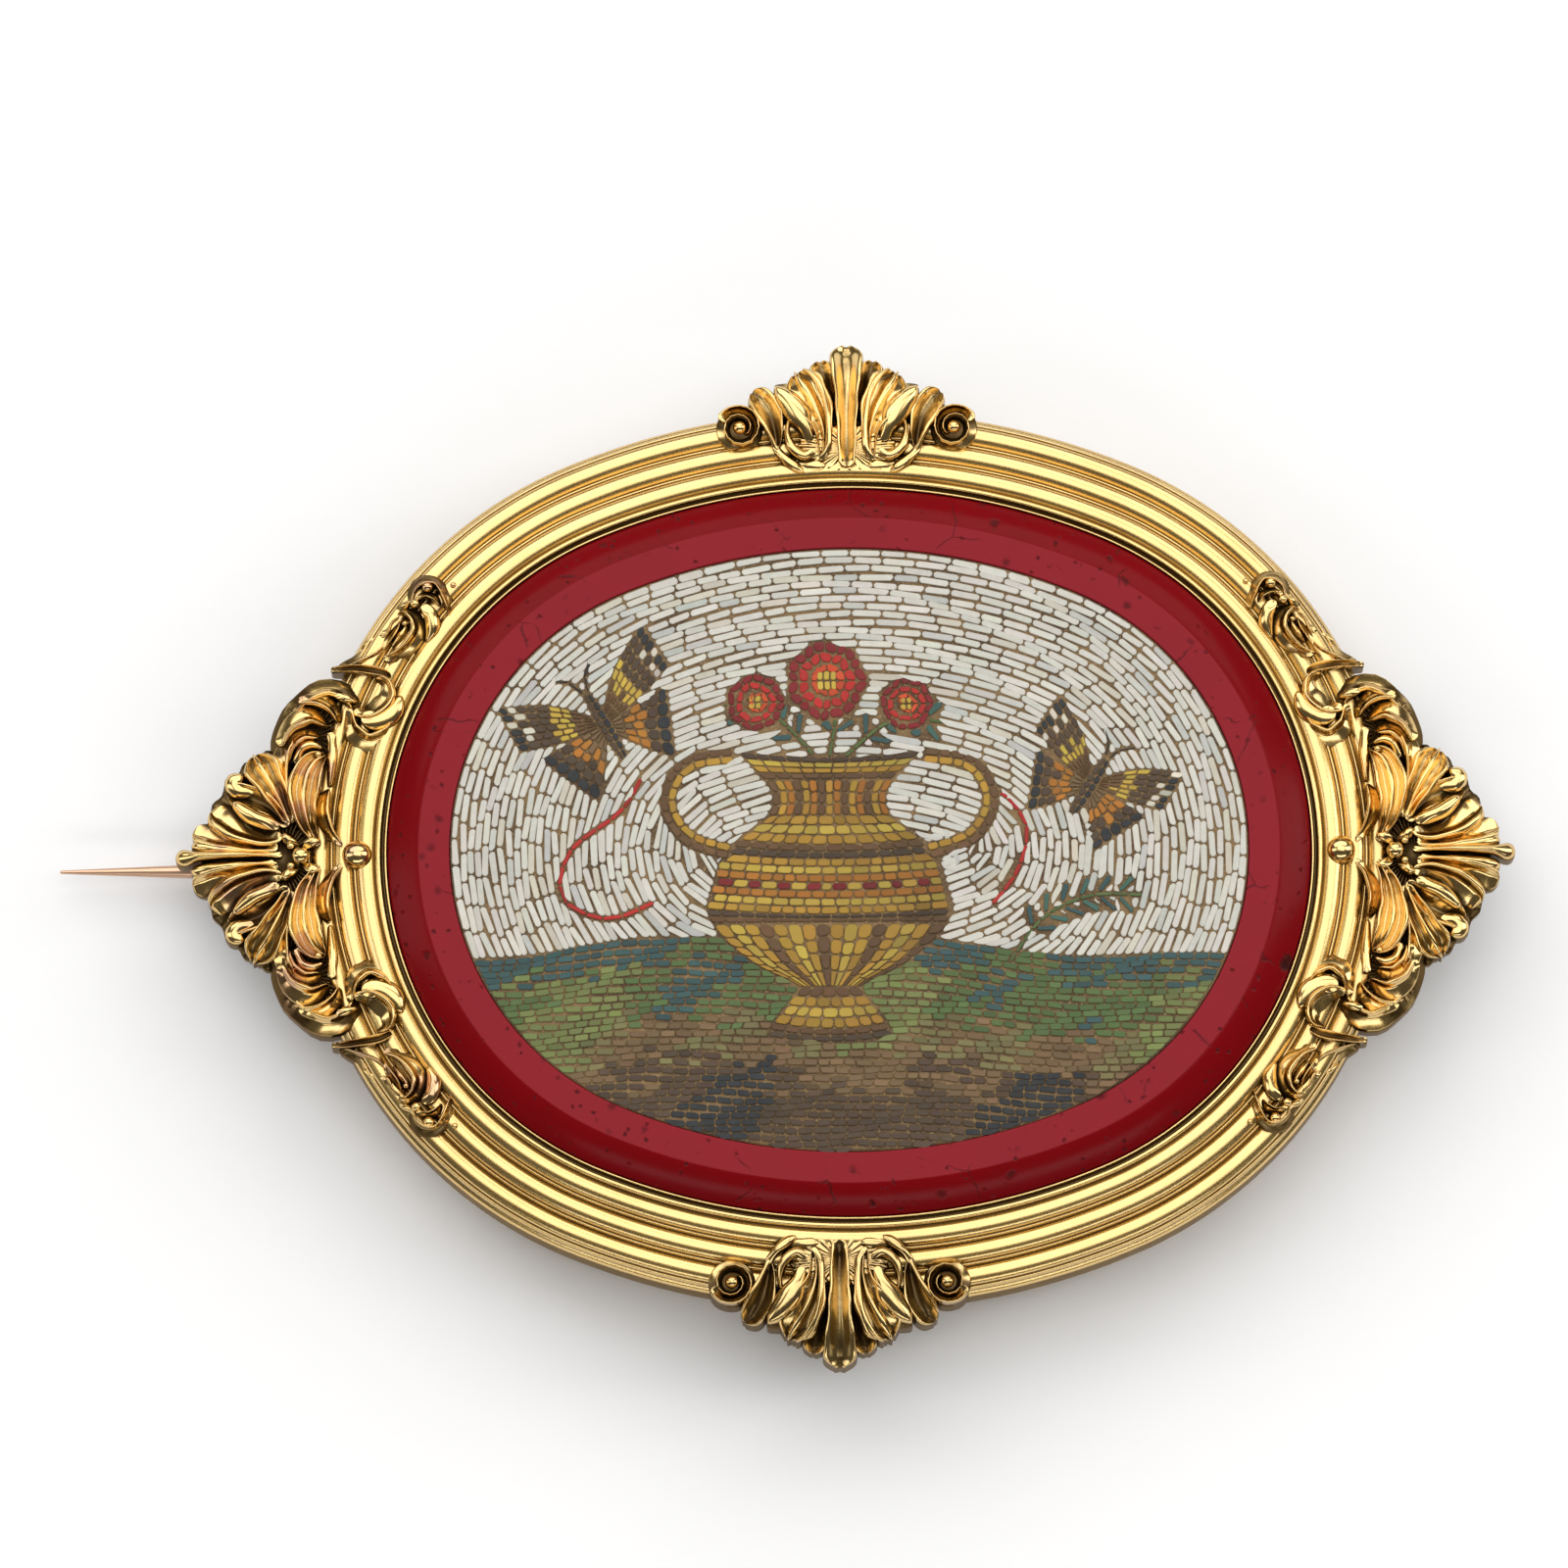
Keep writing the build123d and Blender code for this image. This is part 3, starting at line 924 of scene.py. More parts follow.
@dataclass
class Plaque:
    """The red glass slab with a rounded bevel and a pocket."""

    bevel: float = 1.45
    drop: float = 0.9
    side: float = 0.3
    pocket_depth: float = 1.5
    clearance: float = 0.04
    ease: float = 0.05
    bevel_points: int = 16
    steps: int = 480
    finish: RedGlass = RedGlass()

    def profile(self) -> np.ndarray:
        """Draw the section from the pocket's floor over the bevel to the foot.

        The bevel starts with an edge and grows steeper outwards: its drop is
        0.45 t + 0.55 t² of the whole at the share t of its width.

        Returns:
            Offset, height and share of the way out, one point per row.
        """
        t = np.linspace(0, 1, self.bevel_points)[1:]
        fall = self.drop * (0.45 * t + 0.55 * t**2)
        bevel = np.stack([-self.bevel * (1 - t), PLAQUE_TOP - fall], axis=-1)
        floor = PLAQUE_TOP - self.pocket_depth
        inner = POCKET_OFFSET + self.clearance
        return np.array([
            (inner, floor, 0.0),
            (inner, floor, 1.0),
            (inner, PLAQUE_TOP - self.ease, 1.0),
            (inner + 0.02, PLAQUE_TOP - 0.01, 1.0),
            (inner + self.ease, PLAQUE_TOP, 1.0),
            (inner + 0.08, PLAQUE_TOP, 1.0),
            (-self.bevel - 0.08, PLAQUE_TOP, 1.0),
            (-self.bevel - 0.04, PLAQUE_TOP, 1.0),
            (-self.bevel + 0.02, PLAQUE_TOP - 0.008, 1.0),
            *[(x, z, 1.0) for x, z in bevel],
            (0.0, PLAQUE_TOP - self.drop - self.side, 1.0),
            (0.0, PLAQUE_FOOT + self.ease, 1.0),
            (-self.ease, PLAQUE_FOOT, 1.0),
            (-self.ease, PLAQUE_FOOT, 0.0),
        ])

    def dress(self, piece: bpy.types.Object) -> None:
        """Give the plaque its glass and hide the solid that it stands for."""
        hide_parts("red_plaque")
        piece.data.materials.append(self.finish.make())

    def build(self) -> bpy.types.Object:
        """Make the plaque, with its flat marked for wear and a painted sheen.

        Returns:
            The finished piece.
        """
        table = self.profile()
        points = turned(table[:, 0], table[:, 1], table[:, 2], self.steps)
        quads = grid_faces(len(table), self.steps, wrap=True)
        flat = (table[1:-1, 0] < -self.bevel - 0.02) * 1.0
        # The flat's mark gives it a paler colour: wear with a painted sheen.
        worn = np.concatenate([flat[:1], np.repeat(flat, self.steps), [0.0]])
        soup = Soup()
        soup.add(*close_poles(points, quads, self.steps), worn=worn)
        piece = soup.piece("plaque_glass")
        self.dress(piece)
        return piece


# The mosaic


class Glass(Enum):
    """Colours of the glass sticks, as linear red, green and blue."""

    WHITE = (0.625, 0.603, 0.533)
    CREAM = (0.58, 0.54, 0.44)
    GREY = (0.50, 0.50, 0.46)
    TEAL = (0.035, 0.085, 0.085)
    GREEN = (0.085, 0.135, 0.045)
    MOSS = (0.16, 0.19, 0.06)
    OLIVE = (0.17, 0.15, 0.06)
    EARTH = (0.17, 0.105, 0.05)
    UMBER = (0.075, 0.048, 0.030)
    INK = (0.022, 0.026, 0.030)
    YELLOW = (0.52, 0.36, 0.055)
    OCHRE = (0.42, 0.235, 0.030)
    ORANGE = (0.40, 0.155, 0.020)
    BROWN = (0.135, 0.070, 0.030)
    RED = (0.42, 0.020, 0.018)
    SCARLET = (0.55, 0.070, 0.022)
    WINE = (0.20, 0.012, 0.016)
    LEAF = (0.050, 0.125, 0.105)


Rule = Callable[[np.ndarray, int], list[Glass]]


class Tile(NamedTuple):
    """A laid tile: its four corners, and its share of the way along its row."""

    corners: np.ndarray
    share: float


@dataclass
class Patch:
    """A part of the picture, laid in rows between two lines.

    first and second are the lines, with the same number of points; rows run
    along them, and colours gives each tile its glass from its share along the
    row and its row's number. shade darkens the patch's right-hand side.
    """

    first: np.ndarray
    second: np.ndarray
    rows: int
    length: float
    colours: Rule
    shade: float = 0.0

    @property
    def outline(self) -> np.ndarray:
        """The patch's closed outline."""
        return np.concatenate([self.first, self.second[::-1]])


def strip(line: np.ndarray, half: np.ndarray | float, rows: int, length: float, colours: Rule) -> Patch:
    """Lay a patch along a line.

    Args:
        line: Points along the patch's middle.
        half: Its half width, for all or for each point.
        rows: Its rows.
        length: A tile's usual length.
        colours: Its colour rule.

    Returns:
        The patch.
    """
    return Patch(beside(line, -half), beside(line, half), rows, length, colours)


def plain(*glasses: Glass) -> Rule:
    """Colour rows in turn, the same along each row.

    Args:
        glasses: The rows' colours, repeated as often as needed.

    Returns:
        A colour rule for a patch.
    """
    return lambda share, row: [glasses[row % len(glasses)]] * len(share)


def banded(*stops: tuple[float, Glass]) -> Rule:
    """Colour tiles by their share along the row.

    Args:
        stops: Upper ends of the bands with their colours.

    Returns:
        A colour rule for a patch.
    """

    def rule(share: np.ndarray, row: int) -> list[Glass]:
        """Find each tile's band, wavering a little from row to row."""
        waver = 0.05 * np.sin(2.4 * row)
        return [next((g for end, g in stops if x + waver <= end), stops[-1][1]) for x in share]

    return rule


def belt(share: np.ndarray, row: int) -> list[Glass]:
    """Colour the seven rows of the urn's belt, whose middle row alternates."""
    if row == 3:
        return [(Glass.WINE, Glass.YELLOW)[k % 2] for k in range(len(share))]
    glass = (Glass.OCHRE, Glass.YELLOW, Glass.ORANGE)[min(row, 6 - row)]
    return [glass] * len(share)


class Band(NamedTuple):
    """A band of the urn, in upright ribs or in level courses.

    low and high are heights above the urn's foot, and length is a tile's
    usual length.
    """

    low: float
    high: float
    ribs: bool
    rows: int
    length: float
    colours: Rule


URN_BANDS = (
    Band(0.0, 0.62, False, 2, 0.7, plain(Glass.UMBER, Glass.BROWN)),
    Band(0.62, 2.3, False, 4, 0.6, plain(Glass.OCHRE, Glass.YELLOW, Glass.OCHRE, Glass.BROWN)),
    Band(2.3, 5.3, True, 16, 0.72, plain(Glass.BROWN, Glass.OCHRE, Glass.YELLOW, Glass.OCHRE)),
    Band(5.3, 5.95, False, 2, 0.75, plain(Glass.BROWN, Glass.UMBER)),
    Band(5.95, 8.55, False, 7, 0.66, belt),
    Band(8.55, 9.2, False, 2, 0.75, plain(Glass.UMBER, Glass.BROWN)),
    Band(9.2, 10.3, False, 3, 0.66, plain(Glass.OCHRE, Glass.YELLOW, Glass.OCHRE)),
    Band(10.3, 12.0, True, 15, 0.62, plain(Glass.ORANGE, Glass.OCHRE, Glass.BROWN)),
    Band(12.0, 13.3, False, 4, 0.7, plain(Glass.BROWN, Glass.OCHRE, Glass.YELLOW, Glass.UMBER)),
)

# The urn's half widths with their heights above its foot
URN_OUTLINE = [
    (2.9, 0.0), (2.8, 0.55), (1.5, 1.0), (1.05, 1.7), (1.5, 2.4), (3.5, 3.4), (5.2, 4.9), (5.8, 6.4),
    (5.5, 7.9), (4.2, 9.3), (2.9, 10.2), (2.6, 11.2), (3.1, 12.1), (4.1, 12.8), (4.2, 13.3),
]
URN_HANDLE = [(4.6, 8.6), (6.6, 9.3), (7.5, 11.0), (6.6, 12.7), (4.4, 13.1)]


class Wing(NamedTuple):
    """A butterfly's right wing, with the length of a fore wing as 1.

    front and back are its edges, from the body outwards.
    """

    front: list[tuple[float, float]]
    back: list[tuple[float, float]]
    rows: int
    colours: Rule


WINGS = (
    Wing(
        [(0.03, 0.10), (0.45, 0.52), (0.98, 0.80)], [(0.03, 0.0), (0.50, 0.06), (1.0, 0.22)], 6,
        banded(
            (0.30, Glass.BROWN), (0.52, Glass.YELLOW), (0.80, Glass.UMBER), (0.9, Glass.CREAM),
            (1.0, Glass.INK),
        ),
    ),
    Wing(
        [(0.03, 0.0), (0.42, 0.02), (0.84, 0.02)], [(0.03, -0.12), (0.28, -0.48), (0.52, -0.74)], 5,
        banded((0.34, Glass.EARTH), (0.60, Glass.ORANGE), (0.82, Glass.UMBER), (1.0, Glass.INK)),
    ),
)

# The ground's glass: below a share of its depth, by how far a wave lies above some levels
GROUND_GLASS = (
    (0.13, ((-0.7, Glass.TEAL), (-np.inf, Glass.GREEN))),
    (0.40, ((0.5, Glass.MOSS), (-1.1, Glass.GREEN), (-np.inf, Glass.TEAL))),
    (0.62, ((0.7, Glass.MOSS), (-0.5, Glass.OLIVE), (-np.inf, Glass.EARTH))),
    (0.80, ((0.0, Glass.EARTH), (-0.9, Glass.UMBER), (-np.inf, Glass.INK))),
    (np.inf, ((-0.4, Glass.UMBER), (-np.inf, Glass.INK))),
)


def ground_glass(depth: float, wave: float) -> Glass:
    """Choose a ground tile's glass.

    Args:
        depth: Its depth below the horizon, as a share.
        wave: The wave that spreads the colours in patches.

    Returns:
        The glass.
    """
    levels = next(levels for end, levels in GROUND_GLASS if depth < end)
    return next(glass for level, glass in levels if wave > level)


@dataclass
class Tesserae:
    """Tiles of one piece: corners, colours and how far their corners are cut."""

    corners: list[np.ndarray] = field(default_factory=list)
    colours: list[np.ndarray] = field(default_factory=list)
    cuts: list[float] = field(default_factory=list)
    grout: float = 0.028
    bevel: tuple[float, float] = (0.030, 0.032)
    height: float = 0.33
    lean: float = 0.028
    sink: float = 0.016
    proud: float = 0.008
    below: float = 0.012

    def ring(self, inset: float, long: np.ndarray, wide: np.ndarray, quad: np.ndarray) -> np.ndarray:
        """Draw every tile's eight-cornered outline.

        The ring stands in the tile's own (u, v) square and is mapped to the
        plane by blending the tile's four corners.

        Args:
            inset: Distance inside the tile's joint.
            long: The tiles' lengths.
            wide: Their widths.
            quad: Their corners.

        Returns:
            Eight points of the plane for each tile.
        """
        cut = np.array(self.cuts) * np.minimum(long, wide)
        low_u = np.clip((self.grout + inset) / long, 0, 0.42)
        low_v = np.clip((self.grout + inset) / wide, 0, 0.42)
        cut_u = np.clip(cut / long, 0, 0.5 - low_u)
        cut_v = np.clip(cut / wide, 0, 0.5 - low_v)
        high_u, high_v = 1 - low_u, 1 - low_v
        u = np.stack([
            low_u + cut_u, high_u - cut_u, high_u, high_u,
            high_u - cut_u, low_u + cut_u, low_u, low_u,
        ], axis=-1)
        v = np.stack([
            low_v, low_v, low_v + cut_v, high_v - cut_v,
            high_v, high_v, high_v - cut_v, low_v + cut_v,
        ], axis=-1)
        weights = np.stack([(1 - u) * (1 - v), u * (1 - v), u * v, (1 - u) * v], axis=-1)
        return np.einsum("tkc,tcd->tkd", weights, quad)

    def piece(self, name: str, seed: int) -> bpy.types.Object:
        """Build the tiles as bevelled sticks with cut corners.

        Three rings at falling heights make each tile's worn top edge and its
        sides, and a plane through its middle tilts its top a little.

        Args:
            name: The piece's name.
            seed: Start of the random tilts.

        Returns:
            The finished object, without its material.
        """
        rng = np.random.default_rng(seed)
        quad = np.stack(self.corners)
        count = len(quad)
        hair = 1e-6
        long = np.linalg.norm(quad[:, 1] - quad[:, 0] + quad[:, 2] - quad[:, 3], axis=1) / 2 + hair
        wide = np.linalg.norm(quad[:, 3] - quad[:, 0] + quad[:, 2] - quad[:, 1], axis=1) / 2 + hair
        middle = quad.mean(axis=1)
        slope = rng.normal(0, self.lean, (count, 2))
        lift = rng.uniform(-self.sink, 0.0, count)
        rings = []
        for inset, drop in ((self.bevel[0], 0.0), (0.0, self.bevel[1]), (0.0, self.height)):
            flat = self.ring(inset, long, wide, quad)
            tilt = np.einsum("tkd,td->tk", flat - middle[:, None], slope)
            z = PLAQUE_TOP - self.below + np.minimum(tilt + lift[:, None], self.proud) - drop
            rings.append(np.concatenate([flat, z[..., None]], axis=-1))
        points = np.stack(rings, axis=1).reshape(-1, 3)
        first = np.arange(count)[:, None] * 24
        corner = np.arange(8)
        after = (corner + 1) % 8
        faces = []
        for level in (first, first + 8):
            side = [level + corner, level + 8 + corner, level + 8 + after, level + after]
            faces.append(np.stack(side, axis=-1).reshape(-1, 4))
        faces += [first + corner, first + 16 + corner[::-1]]
        glass = np.repeat(np.array(self.colours), 24, axis=0)
        edge = np.tile(np.repeat([0.0, 1.0, 1.0], 8), count)
        soup = Soup()
        soup.add(points, faces, glass=glass, edge=edge)
        return soup.piece(name, smooth=False)


@dataclass
class Mosaic:
    """The picture: an urn with flowers between two butterflies, on green ground.

    The picture's patches are painted on a stencil over the sky and the
    ground, and each course of tiles is laid where the stencil has its mark.
    """

    stick: float = 1.30
    pitch: float = 0.355
    ground_length: float = 0.68
    ground_pitch: float = 0.34
    cell: float = 0.04
    edge: float = POCKET_OFFSET - 0.03
    urn_x: float = -0.9
    urn_foot: float = -8.7
    urn_shade: float = 0.35
    seed: int = 11
    sky_mark: int = 1
    ground_mark: int = 2
    first_mark: int = 3
    mastic_steps: int = 360
    half: tuple[float, float] = (HALF_LENGTH, HALF_WIDTH)
    rng: np.random.Generator = field(init=False)
    xs: np.ndarray = field(init=False)
    ys: np.ndarray = field(init=False)
    stencil: np.ndarray = field(init=False)

    def __post_init__(self) -> None:
        """Start the random draws and the stencil."""
        self.rng = np.random.default_rng(self.seed)
        columns, rows = (int(2 * half / self.cell) + 1 for half in self.half)
        x = np.linspace(-self.half[0], self.half[0], columns)[:, None]
        y = np.linspace(-self.half[1], self.half[1], rows)[None, :]
        self.xs, self.ys = np.broadcast_arrays(x, y)
        inside = OVAL.depth(self.xs, self.ys) < self.edge
        field_marks = np.where(self.ys > self.horizon(self.xs), self.sky_mark, self.ground_mark)
        self.stencil = np.where(inside, field_marks, 0)

    @staticmethod
    def horizon(x: np.ndarray) -> np.ndarray:
        """Give the ground's height: a level line with two low swells."""
        return -4.55 + 0.55 * np.cos(x * 0.16 + 0.5) + 0.18 * np.sin(x * 0.5)

    def paint(self, outline: np.ndarray, number: int) -> None:
        """Mark the stencil inside a closed outline, by the even-odd rule.

        Args:
            outline: The outline's corners.
            number: The mark.
        """
        low, high = outline.min(axis=0), outline.max(axis=0)
        i0, j0 = ((low + self.half) / self.cell).astype(int)
        i1, j1 = ((high + self.half) / self.cell).astype(int) + 2
        x, y = self.xs[i0:i1, j0:j1], self.ys[i0:i1, j0:j1]
        odd = np.zeros(x.shape, dtype=bool)
        after = np.roll(outline, -1, axis=0)
        for (ax, ay), (bx, by) in zip(outline, after):
            if ay == by:
                continue
            crossing = (y > min(ay, by)) & (y <= max(ay, by))
            odd ^= crossing & (x < ax + (y - ay) / (by - ay) * (bx - ax))
        view = self.stencil[i0:i1, j0:j1]
        view[odd & (view > 0)] = number

    def marked(self, points: np.ndarray, number: int) -> np.ndarray:
        """Tell which points lie on a mark of the stencil.

        Args:
            points: Points of the plane.
            number: The mark.

        Returns:
            True where the stencil has the mark.
        """
        index = np.rint((points + self.half) / self.cell).astype(int)
        i, j = np.clip(index, 0, np.array(self.stencil.shape) - 1).T
        return self.stencil[i, j] == number

    def course(self, low: np.ndarray, high: np.ndarray, number: int, length: float) -> list[Tile]:
        """Lay one row of tiles between two lines, wherever the stencil has a mark.

        Each run on the mark is cut into tiles of uneven length with slightly
        skewed joints, and its two ends follow the mark along both lines.

        Args:
            low: The right-hand line of the row.
            high: The left-hand line, point for point beside it.
            number: The mark.
            length: A tile's usual length.

        Returns:
            The row's tiles.
        """
        farthest_creep, shortest_run, shortest_tile = 0.42, 0.16, 0.08
        middle = (low + high) / 2
        on = self.marked(middle, number)
        on_low = self.marked(middle + 0.75 * (low - middle), number)
        on_high = self.marked(middle + 0.75 * (high - middle), number)
        steps = run_length(middle)
        padded = np.concatenate([[False], on, [False]]).astype(int)
        starts = np.flatnonzero(np.diff(padded) == 1)
        ends = np.flatnonzero(np.diff(padded) == -1) - 1
        tiles = []
        reach = max(2, int(farthest_creep / max(steps[-1] / len(steps), 1e-3)))
        for start, end in zip(starts, ends):
            span = steps[end] - steps[start]
            if span < shortest_run:
                continue
            count = max(1, round(span / length))
            sizes = self.rng.uniform(0.78, 1.22, count)
            cuts = steps[start] + span * np.concatenate([[0], np.cumsum(sizes) / sizes.sum()])
            skew = self.rng.normal(0, 0.022, count + 1)
            sides = []
            for line, flags, sign in ((low, on_low, -1), (high, on_high, 1)):
                at = cuts + sign * skew
                at[0] = steps[self.creep(flags, start, -1, reach)]
                at[-1] = steps[self.creep(flags, end, 1, reach)]
                at[1:-1] = np.clip(at[1:-1], at[0] + shortest_tile, at[-1] - shortest_tile)
                sides.append(np.stack([np.interp(at, steps, line[:, k]) for k in (0, 1)], axis=-1))
            near, far = sides
            share = (cuts[1:] + cuts[:-1]) / 2 / steps[-1]
            for k in range(count):
                corners = np.stack([near[k], near[k + 1], far[k + 1], far[k]])
                tiles.append(Tile(corners, share[k]))
        return tiles

    @staticmethod
    def creep(flags: np.ndarray, index: int, sign: int, reach: int) -> int:
        """Move a row's end along one of its lines to where the mark ends.

        Args:
            flags: Where the line is on the mark.
            index: The end of the row's middle.
            sign: The direction that leads off the row.
            reach: The farthest move.

        Returns:
            The end on the line.
        """
        place = index
        for _ in range(reach):
            step = sign if flags[place] else -sign
            onward = place + step
            if not 0 <= onward < len(flags) or (flags[onward] != flags[place]):
                return place if flags[place] else min(max(onward, 0), len(flags) - 1)
            place = onward
        return place if flags[index] else index - sign * (reach // 2)

    def tint(self, glasses: list[Glass], spread: float, shade: np.ndarray | float = 0.0) -> np.ndarray:
        """Give each tile its own tone of its glass.

        Args:
            glasses: The glasses.
            spread: How much the tones vary.
            shade: Share by which each is darkened.

        Returns:
            One colour per row.
        """
        darkest, brightest = 0.004, 0.86
        base = np.array([g.value for g in glasses])
        tone = self.rng.normal(1.0, spread, (len(base), 1))
        cast = self.rng.normal(1.0, spread * 0.25, base.shape)
        dim = 1 - np.broadcast_to(shade, len(base))[:, None]
        return np.clip(base * tone * cast * dim, darkest, brightest)

    def keep(self, into: Tesserae, tiles: list[Tile], colours: np.ndarray, cut: float) -> None:
        """Add laid tiles to a piece, dropping slivers.

        Args:
            into: The piece's tiles.
            tiles: The tiles of a course.
            colours: Their colours.
            cut: Share of the shorter side that is cut off each corner.
        """
        smallest_area = 0.03
        for tile, colour in zip(tiles, colours):
            a, b = tile.corners[2] - tile.corners[0], tile.corners[3] - tile.corners[1]
            if abs(a[0] * b[1] - a[1] * b[0]) / 2 > smallest_area:
                into.corners.append(tile.corners)
                into.colours.append(colour)
                into.cuts.append(cut)

    def sky(self) -> Tesserae:
        """Lay the white sticks in rows that follow the pocket's edge.

        Returns:
            The sky's tiles.
        """
        grey, cream = 0.07, 0.14
        laid = Tesserae()
        angle = np.linspace(0, TAU, 3000) + np.pi * 1.5
        for row in range(int((HALF_WIDTH + self.edge) / self.pitch) + 1):
            far = self.edge - row * self.pitch
            swing = 0.05 * np.sin(angle * 9 + row) + 0.04 * np.sin(angle * 23 + row * 2)
            low = OVAL.point(angle, far + swing * min(row, 1))
            high = OVAL.point(angle, far - self.pitch + swing)
            tiles = self.course(low[::-1], high[::-1], self.sky_mark, self.stick)
            draw = self.rng.random(len(tiles))
            glasses = [
                Glass.GREY if d < grey else Glass.CREAM if d < cream else Glass.WHITE for d in draw
            ]
            self.keep(laid, tiles, self.tint(glasses, 0.05), 0.26)
        return laid

    def ground(self) -> Tesserae:
        """Lay the ground in nearly level rows, from teal under the sky to umber.

        Each row is the horizon's line, flatter the lower it lies, with two
        small waves of its own.

        Returns:
            The ground's tiles.
        """
        laid = Tesserae()
        x = np.arange(-HALF_LENGTH, HALF_LENGTH, 0.05)
        level, whole_depth = -4.5, 9.0
        for row in range(int((HALF_WIDTH - 3.0) / self.ground_pitch)):
            drop = row * self.ground_pitch
            fade = 1 / (1 + drop * 0.25)
            line = self.horizon(x) * fade + (1 - fade) * level - drop
            line = line + 0.06 * np.sin(x * 0.9 + row) + 0.03 * np.sin(x * 2.3 + row * 1.7)
            high = np.stack([x, line], axis=-1)
            low = np.stack([x, line - self.ground_pitch], axis=-1)
            tiles = self.course(low, high, self.ground_mark, self.ground_length)
            if not tiles:
                continue
            mx, my = np.array([tile.corners.mean(axis=0) for tile in tiles]).T
            wave = np.sin(mx * 0.42 + 1.2) + 0.7 * np.sin(mx * 0.9 - my * 0.8)
            wave = wave + self.rng.normal(0, 0.22, len(mx))
            depth = (self.horizon(mx) - my) / whole_depth + self.rng.normal(0, 0.035, len(mx))
            glasses = [ground_glass(d, w) for d, w in zip(depth, wave)]
            self.keep(laid, tiles, self.tint(glasses, 0.12), 0.18)
        return laid

    def urn(self) -> list[Patch]:
        """Lay out the two-handled urn.

        Its outline is a smooth line of half widths over heights, and each
        band is the part between two heights. A level course sags a little in
        the middle, except where it meets ribs.

        Returns:
            The urn's patches.
        """
        outline = smooth_path(URN_OUTLINE)
        outline = outline[np.argsort(outline[:, 1])]
        straight = [height for band in URN_BANDS if band.ribs for height in (band.low, band.high)]

        def half(y: np.ndarray | float) -> np.ndarray:
            """Give the urn's half width at a height above its foot."""
            return np.interp(y, outline[:, 1], outline[:, 0])

        patches = []
        for band in URN_BANDS:
            if band.ribs:
                y = np.linspace(band.low, band.high, 40)
                across = [half(y), -half(y)]
                lines = [np.stack([self.urn_x + w, self.urn_foot + y], axis=-1) for w in across]
            else:
                t = np.linspace(-1, 1, 60)
                lines = []
                for y in (band.low, band.high):
                    sag = -0.28 * (1 - t**2) * (y not in straight)
                    x = self.urn_x + half(y) * t
                    lines.append(np.stack([x, self.urn_foot + y + sag], axis=-1))
            patches.append(Patch(*lines, band.rows, band.length, band.colours, self.urn_shade))
        return patches

    def handles(self) -> list[Patch]:
        """Lay out the urn's two handles."""
        patches = []
        for side in (-1, 1):
            line = smooth_path([(self.urn_x + side * x, self.urn_foot + y) for x, y in URN_HANDLE])
            glasses = (Glass.BROWN, Glass.OCHRE) if side > 0 else (Glass.OCHRE, Glass.BROWN)
            patches.append(strip(line, 0.37, 2, 0.62, plain(*glasses)))
        return patches

    def ribbon(self, *knots: tuple[float, float]) -> Patch:
        """Lay a thin red ribbon through some points."""
        return strip(smooth_path(list(knots)), 0.12, 1, 0.85, plain(Glass.RED))

    def flower(self, x: float, y: float, radius: float) -> list[Patch]:
        """Lay out a round flower in rings, dark at its rim.

        Args:
            x: Its middle.
            y: Its middle.
            radius: Its radius.

        Returns:
            The flower's patches, from the rim to the eye.
        """
        angle = np.linspace(0, TAU, 90)
        scallop = radius * (1 + 0.07 * np.cos(7 * angle))[:, None]
        ring = np.stack([np.cos(angle), np.sin(angle)], axis=-1) * scallop
        centre = np.array([x, y])
        patches = []
        for outer, inner, glass in (
            (1.0, 0.74, Glass.WINE), (0.74, 0.48, Glass.RED), (0.48, 0.24, Glass.SCARLET)
        ):
            lines = (centre + ring * outer, centre + ring * inner)
            patches.append(Patch(*lines, 1, 0.55, plain(glass)))
        eye = np.linspace(-0.25, 0.25, 11)
        low, high = (centre + radius * np.stack([eye, np.full(11, end)], axis=-1) for end in eye[[0, -1]])
        patches.append(Patch(low, high, 1 if radius < 1.2 else 2, 0.36, plain(Glass.YELLOW)))
        return patches

    def sprig(self, knots: list[tuple[float, float]], pairs: int, size: float) -> list[Patch]:
        """Lay out a thin stem with leaves in pairs.

        Args:
            knots: Points that the stem passes.
            pairs: Number of pairs of leaves.
            size: A leaf's length.

        Returns:
            The sprig's patches.
        """
        stem = smooth_path(knots)
        patches = [strip(stem, 0.10, 1, 0.7, plain(Glass.GREEN))]
        half = size * 0.27 * np.sin(np.pi * np.linspace(0.08, 0.92, 12)) ** 0.7
        for k in range(pairs):
            at = int(len(stem) * (0.25 + 0.7 * k / pairs))
            forward = stem[min(at + 2, len(stem) - 1)] - stem[at - 2]
            heading = np.arctan2(forward[1], forward[0])
            for side in (-1, 1):
                lean = heading + side * 0.85
                out = np.array([np.cos(lean), np.sin(lean)])
                line = stem[at] + 0.18 * out + np.linspace(0, size, 12)[:, None] * out
                glass = Glass.LEAF if k % 2 else Glass.TEAL
                patches.append(strip(line, half, 1, size * 1.2, plain(glass)))
        return patches

    def butterfly(self, x: float, y: float, size: float, heading: float) -> list[Patch]:
        """Lay out a butterfly seen from above.

        Args:
            x: The middle of its body.
            y: The middle of its body.
            size: The length of a fore wing.
            heading: The direction of its head, in radians.

        Returns:
            The butterfly's patches.
        """
        cos, sin = np.cos(heading - np.pi / 2), np.sin(heading - np.pi / 2)
        turn = np.array([[cos, sin], [-sin, cos]])

        def drawn(side: int, knots: list[tuple[float, float]]) -> np.ndarray:
            """Draw a line on one side, turned and moved to the butterfly's place."""
            line = smooth_path([(side * a, b) for a, b in knots], 0.02)
            return line * size @ turn + np.array([x, y])

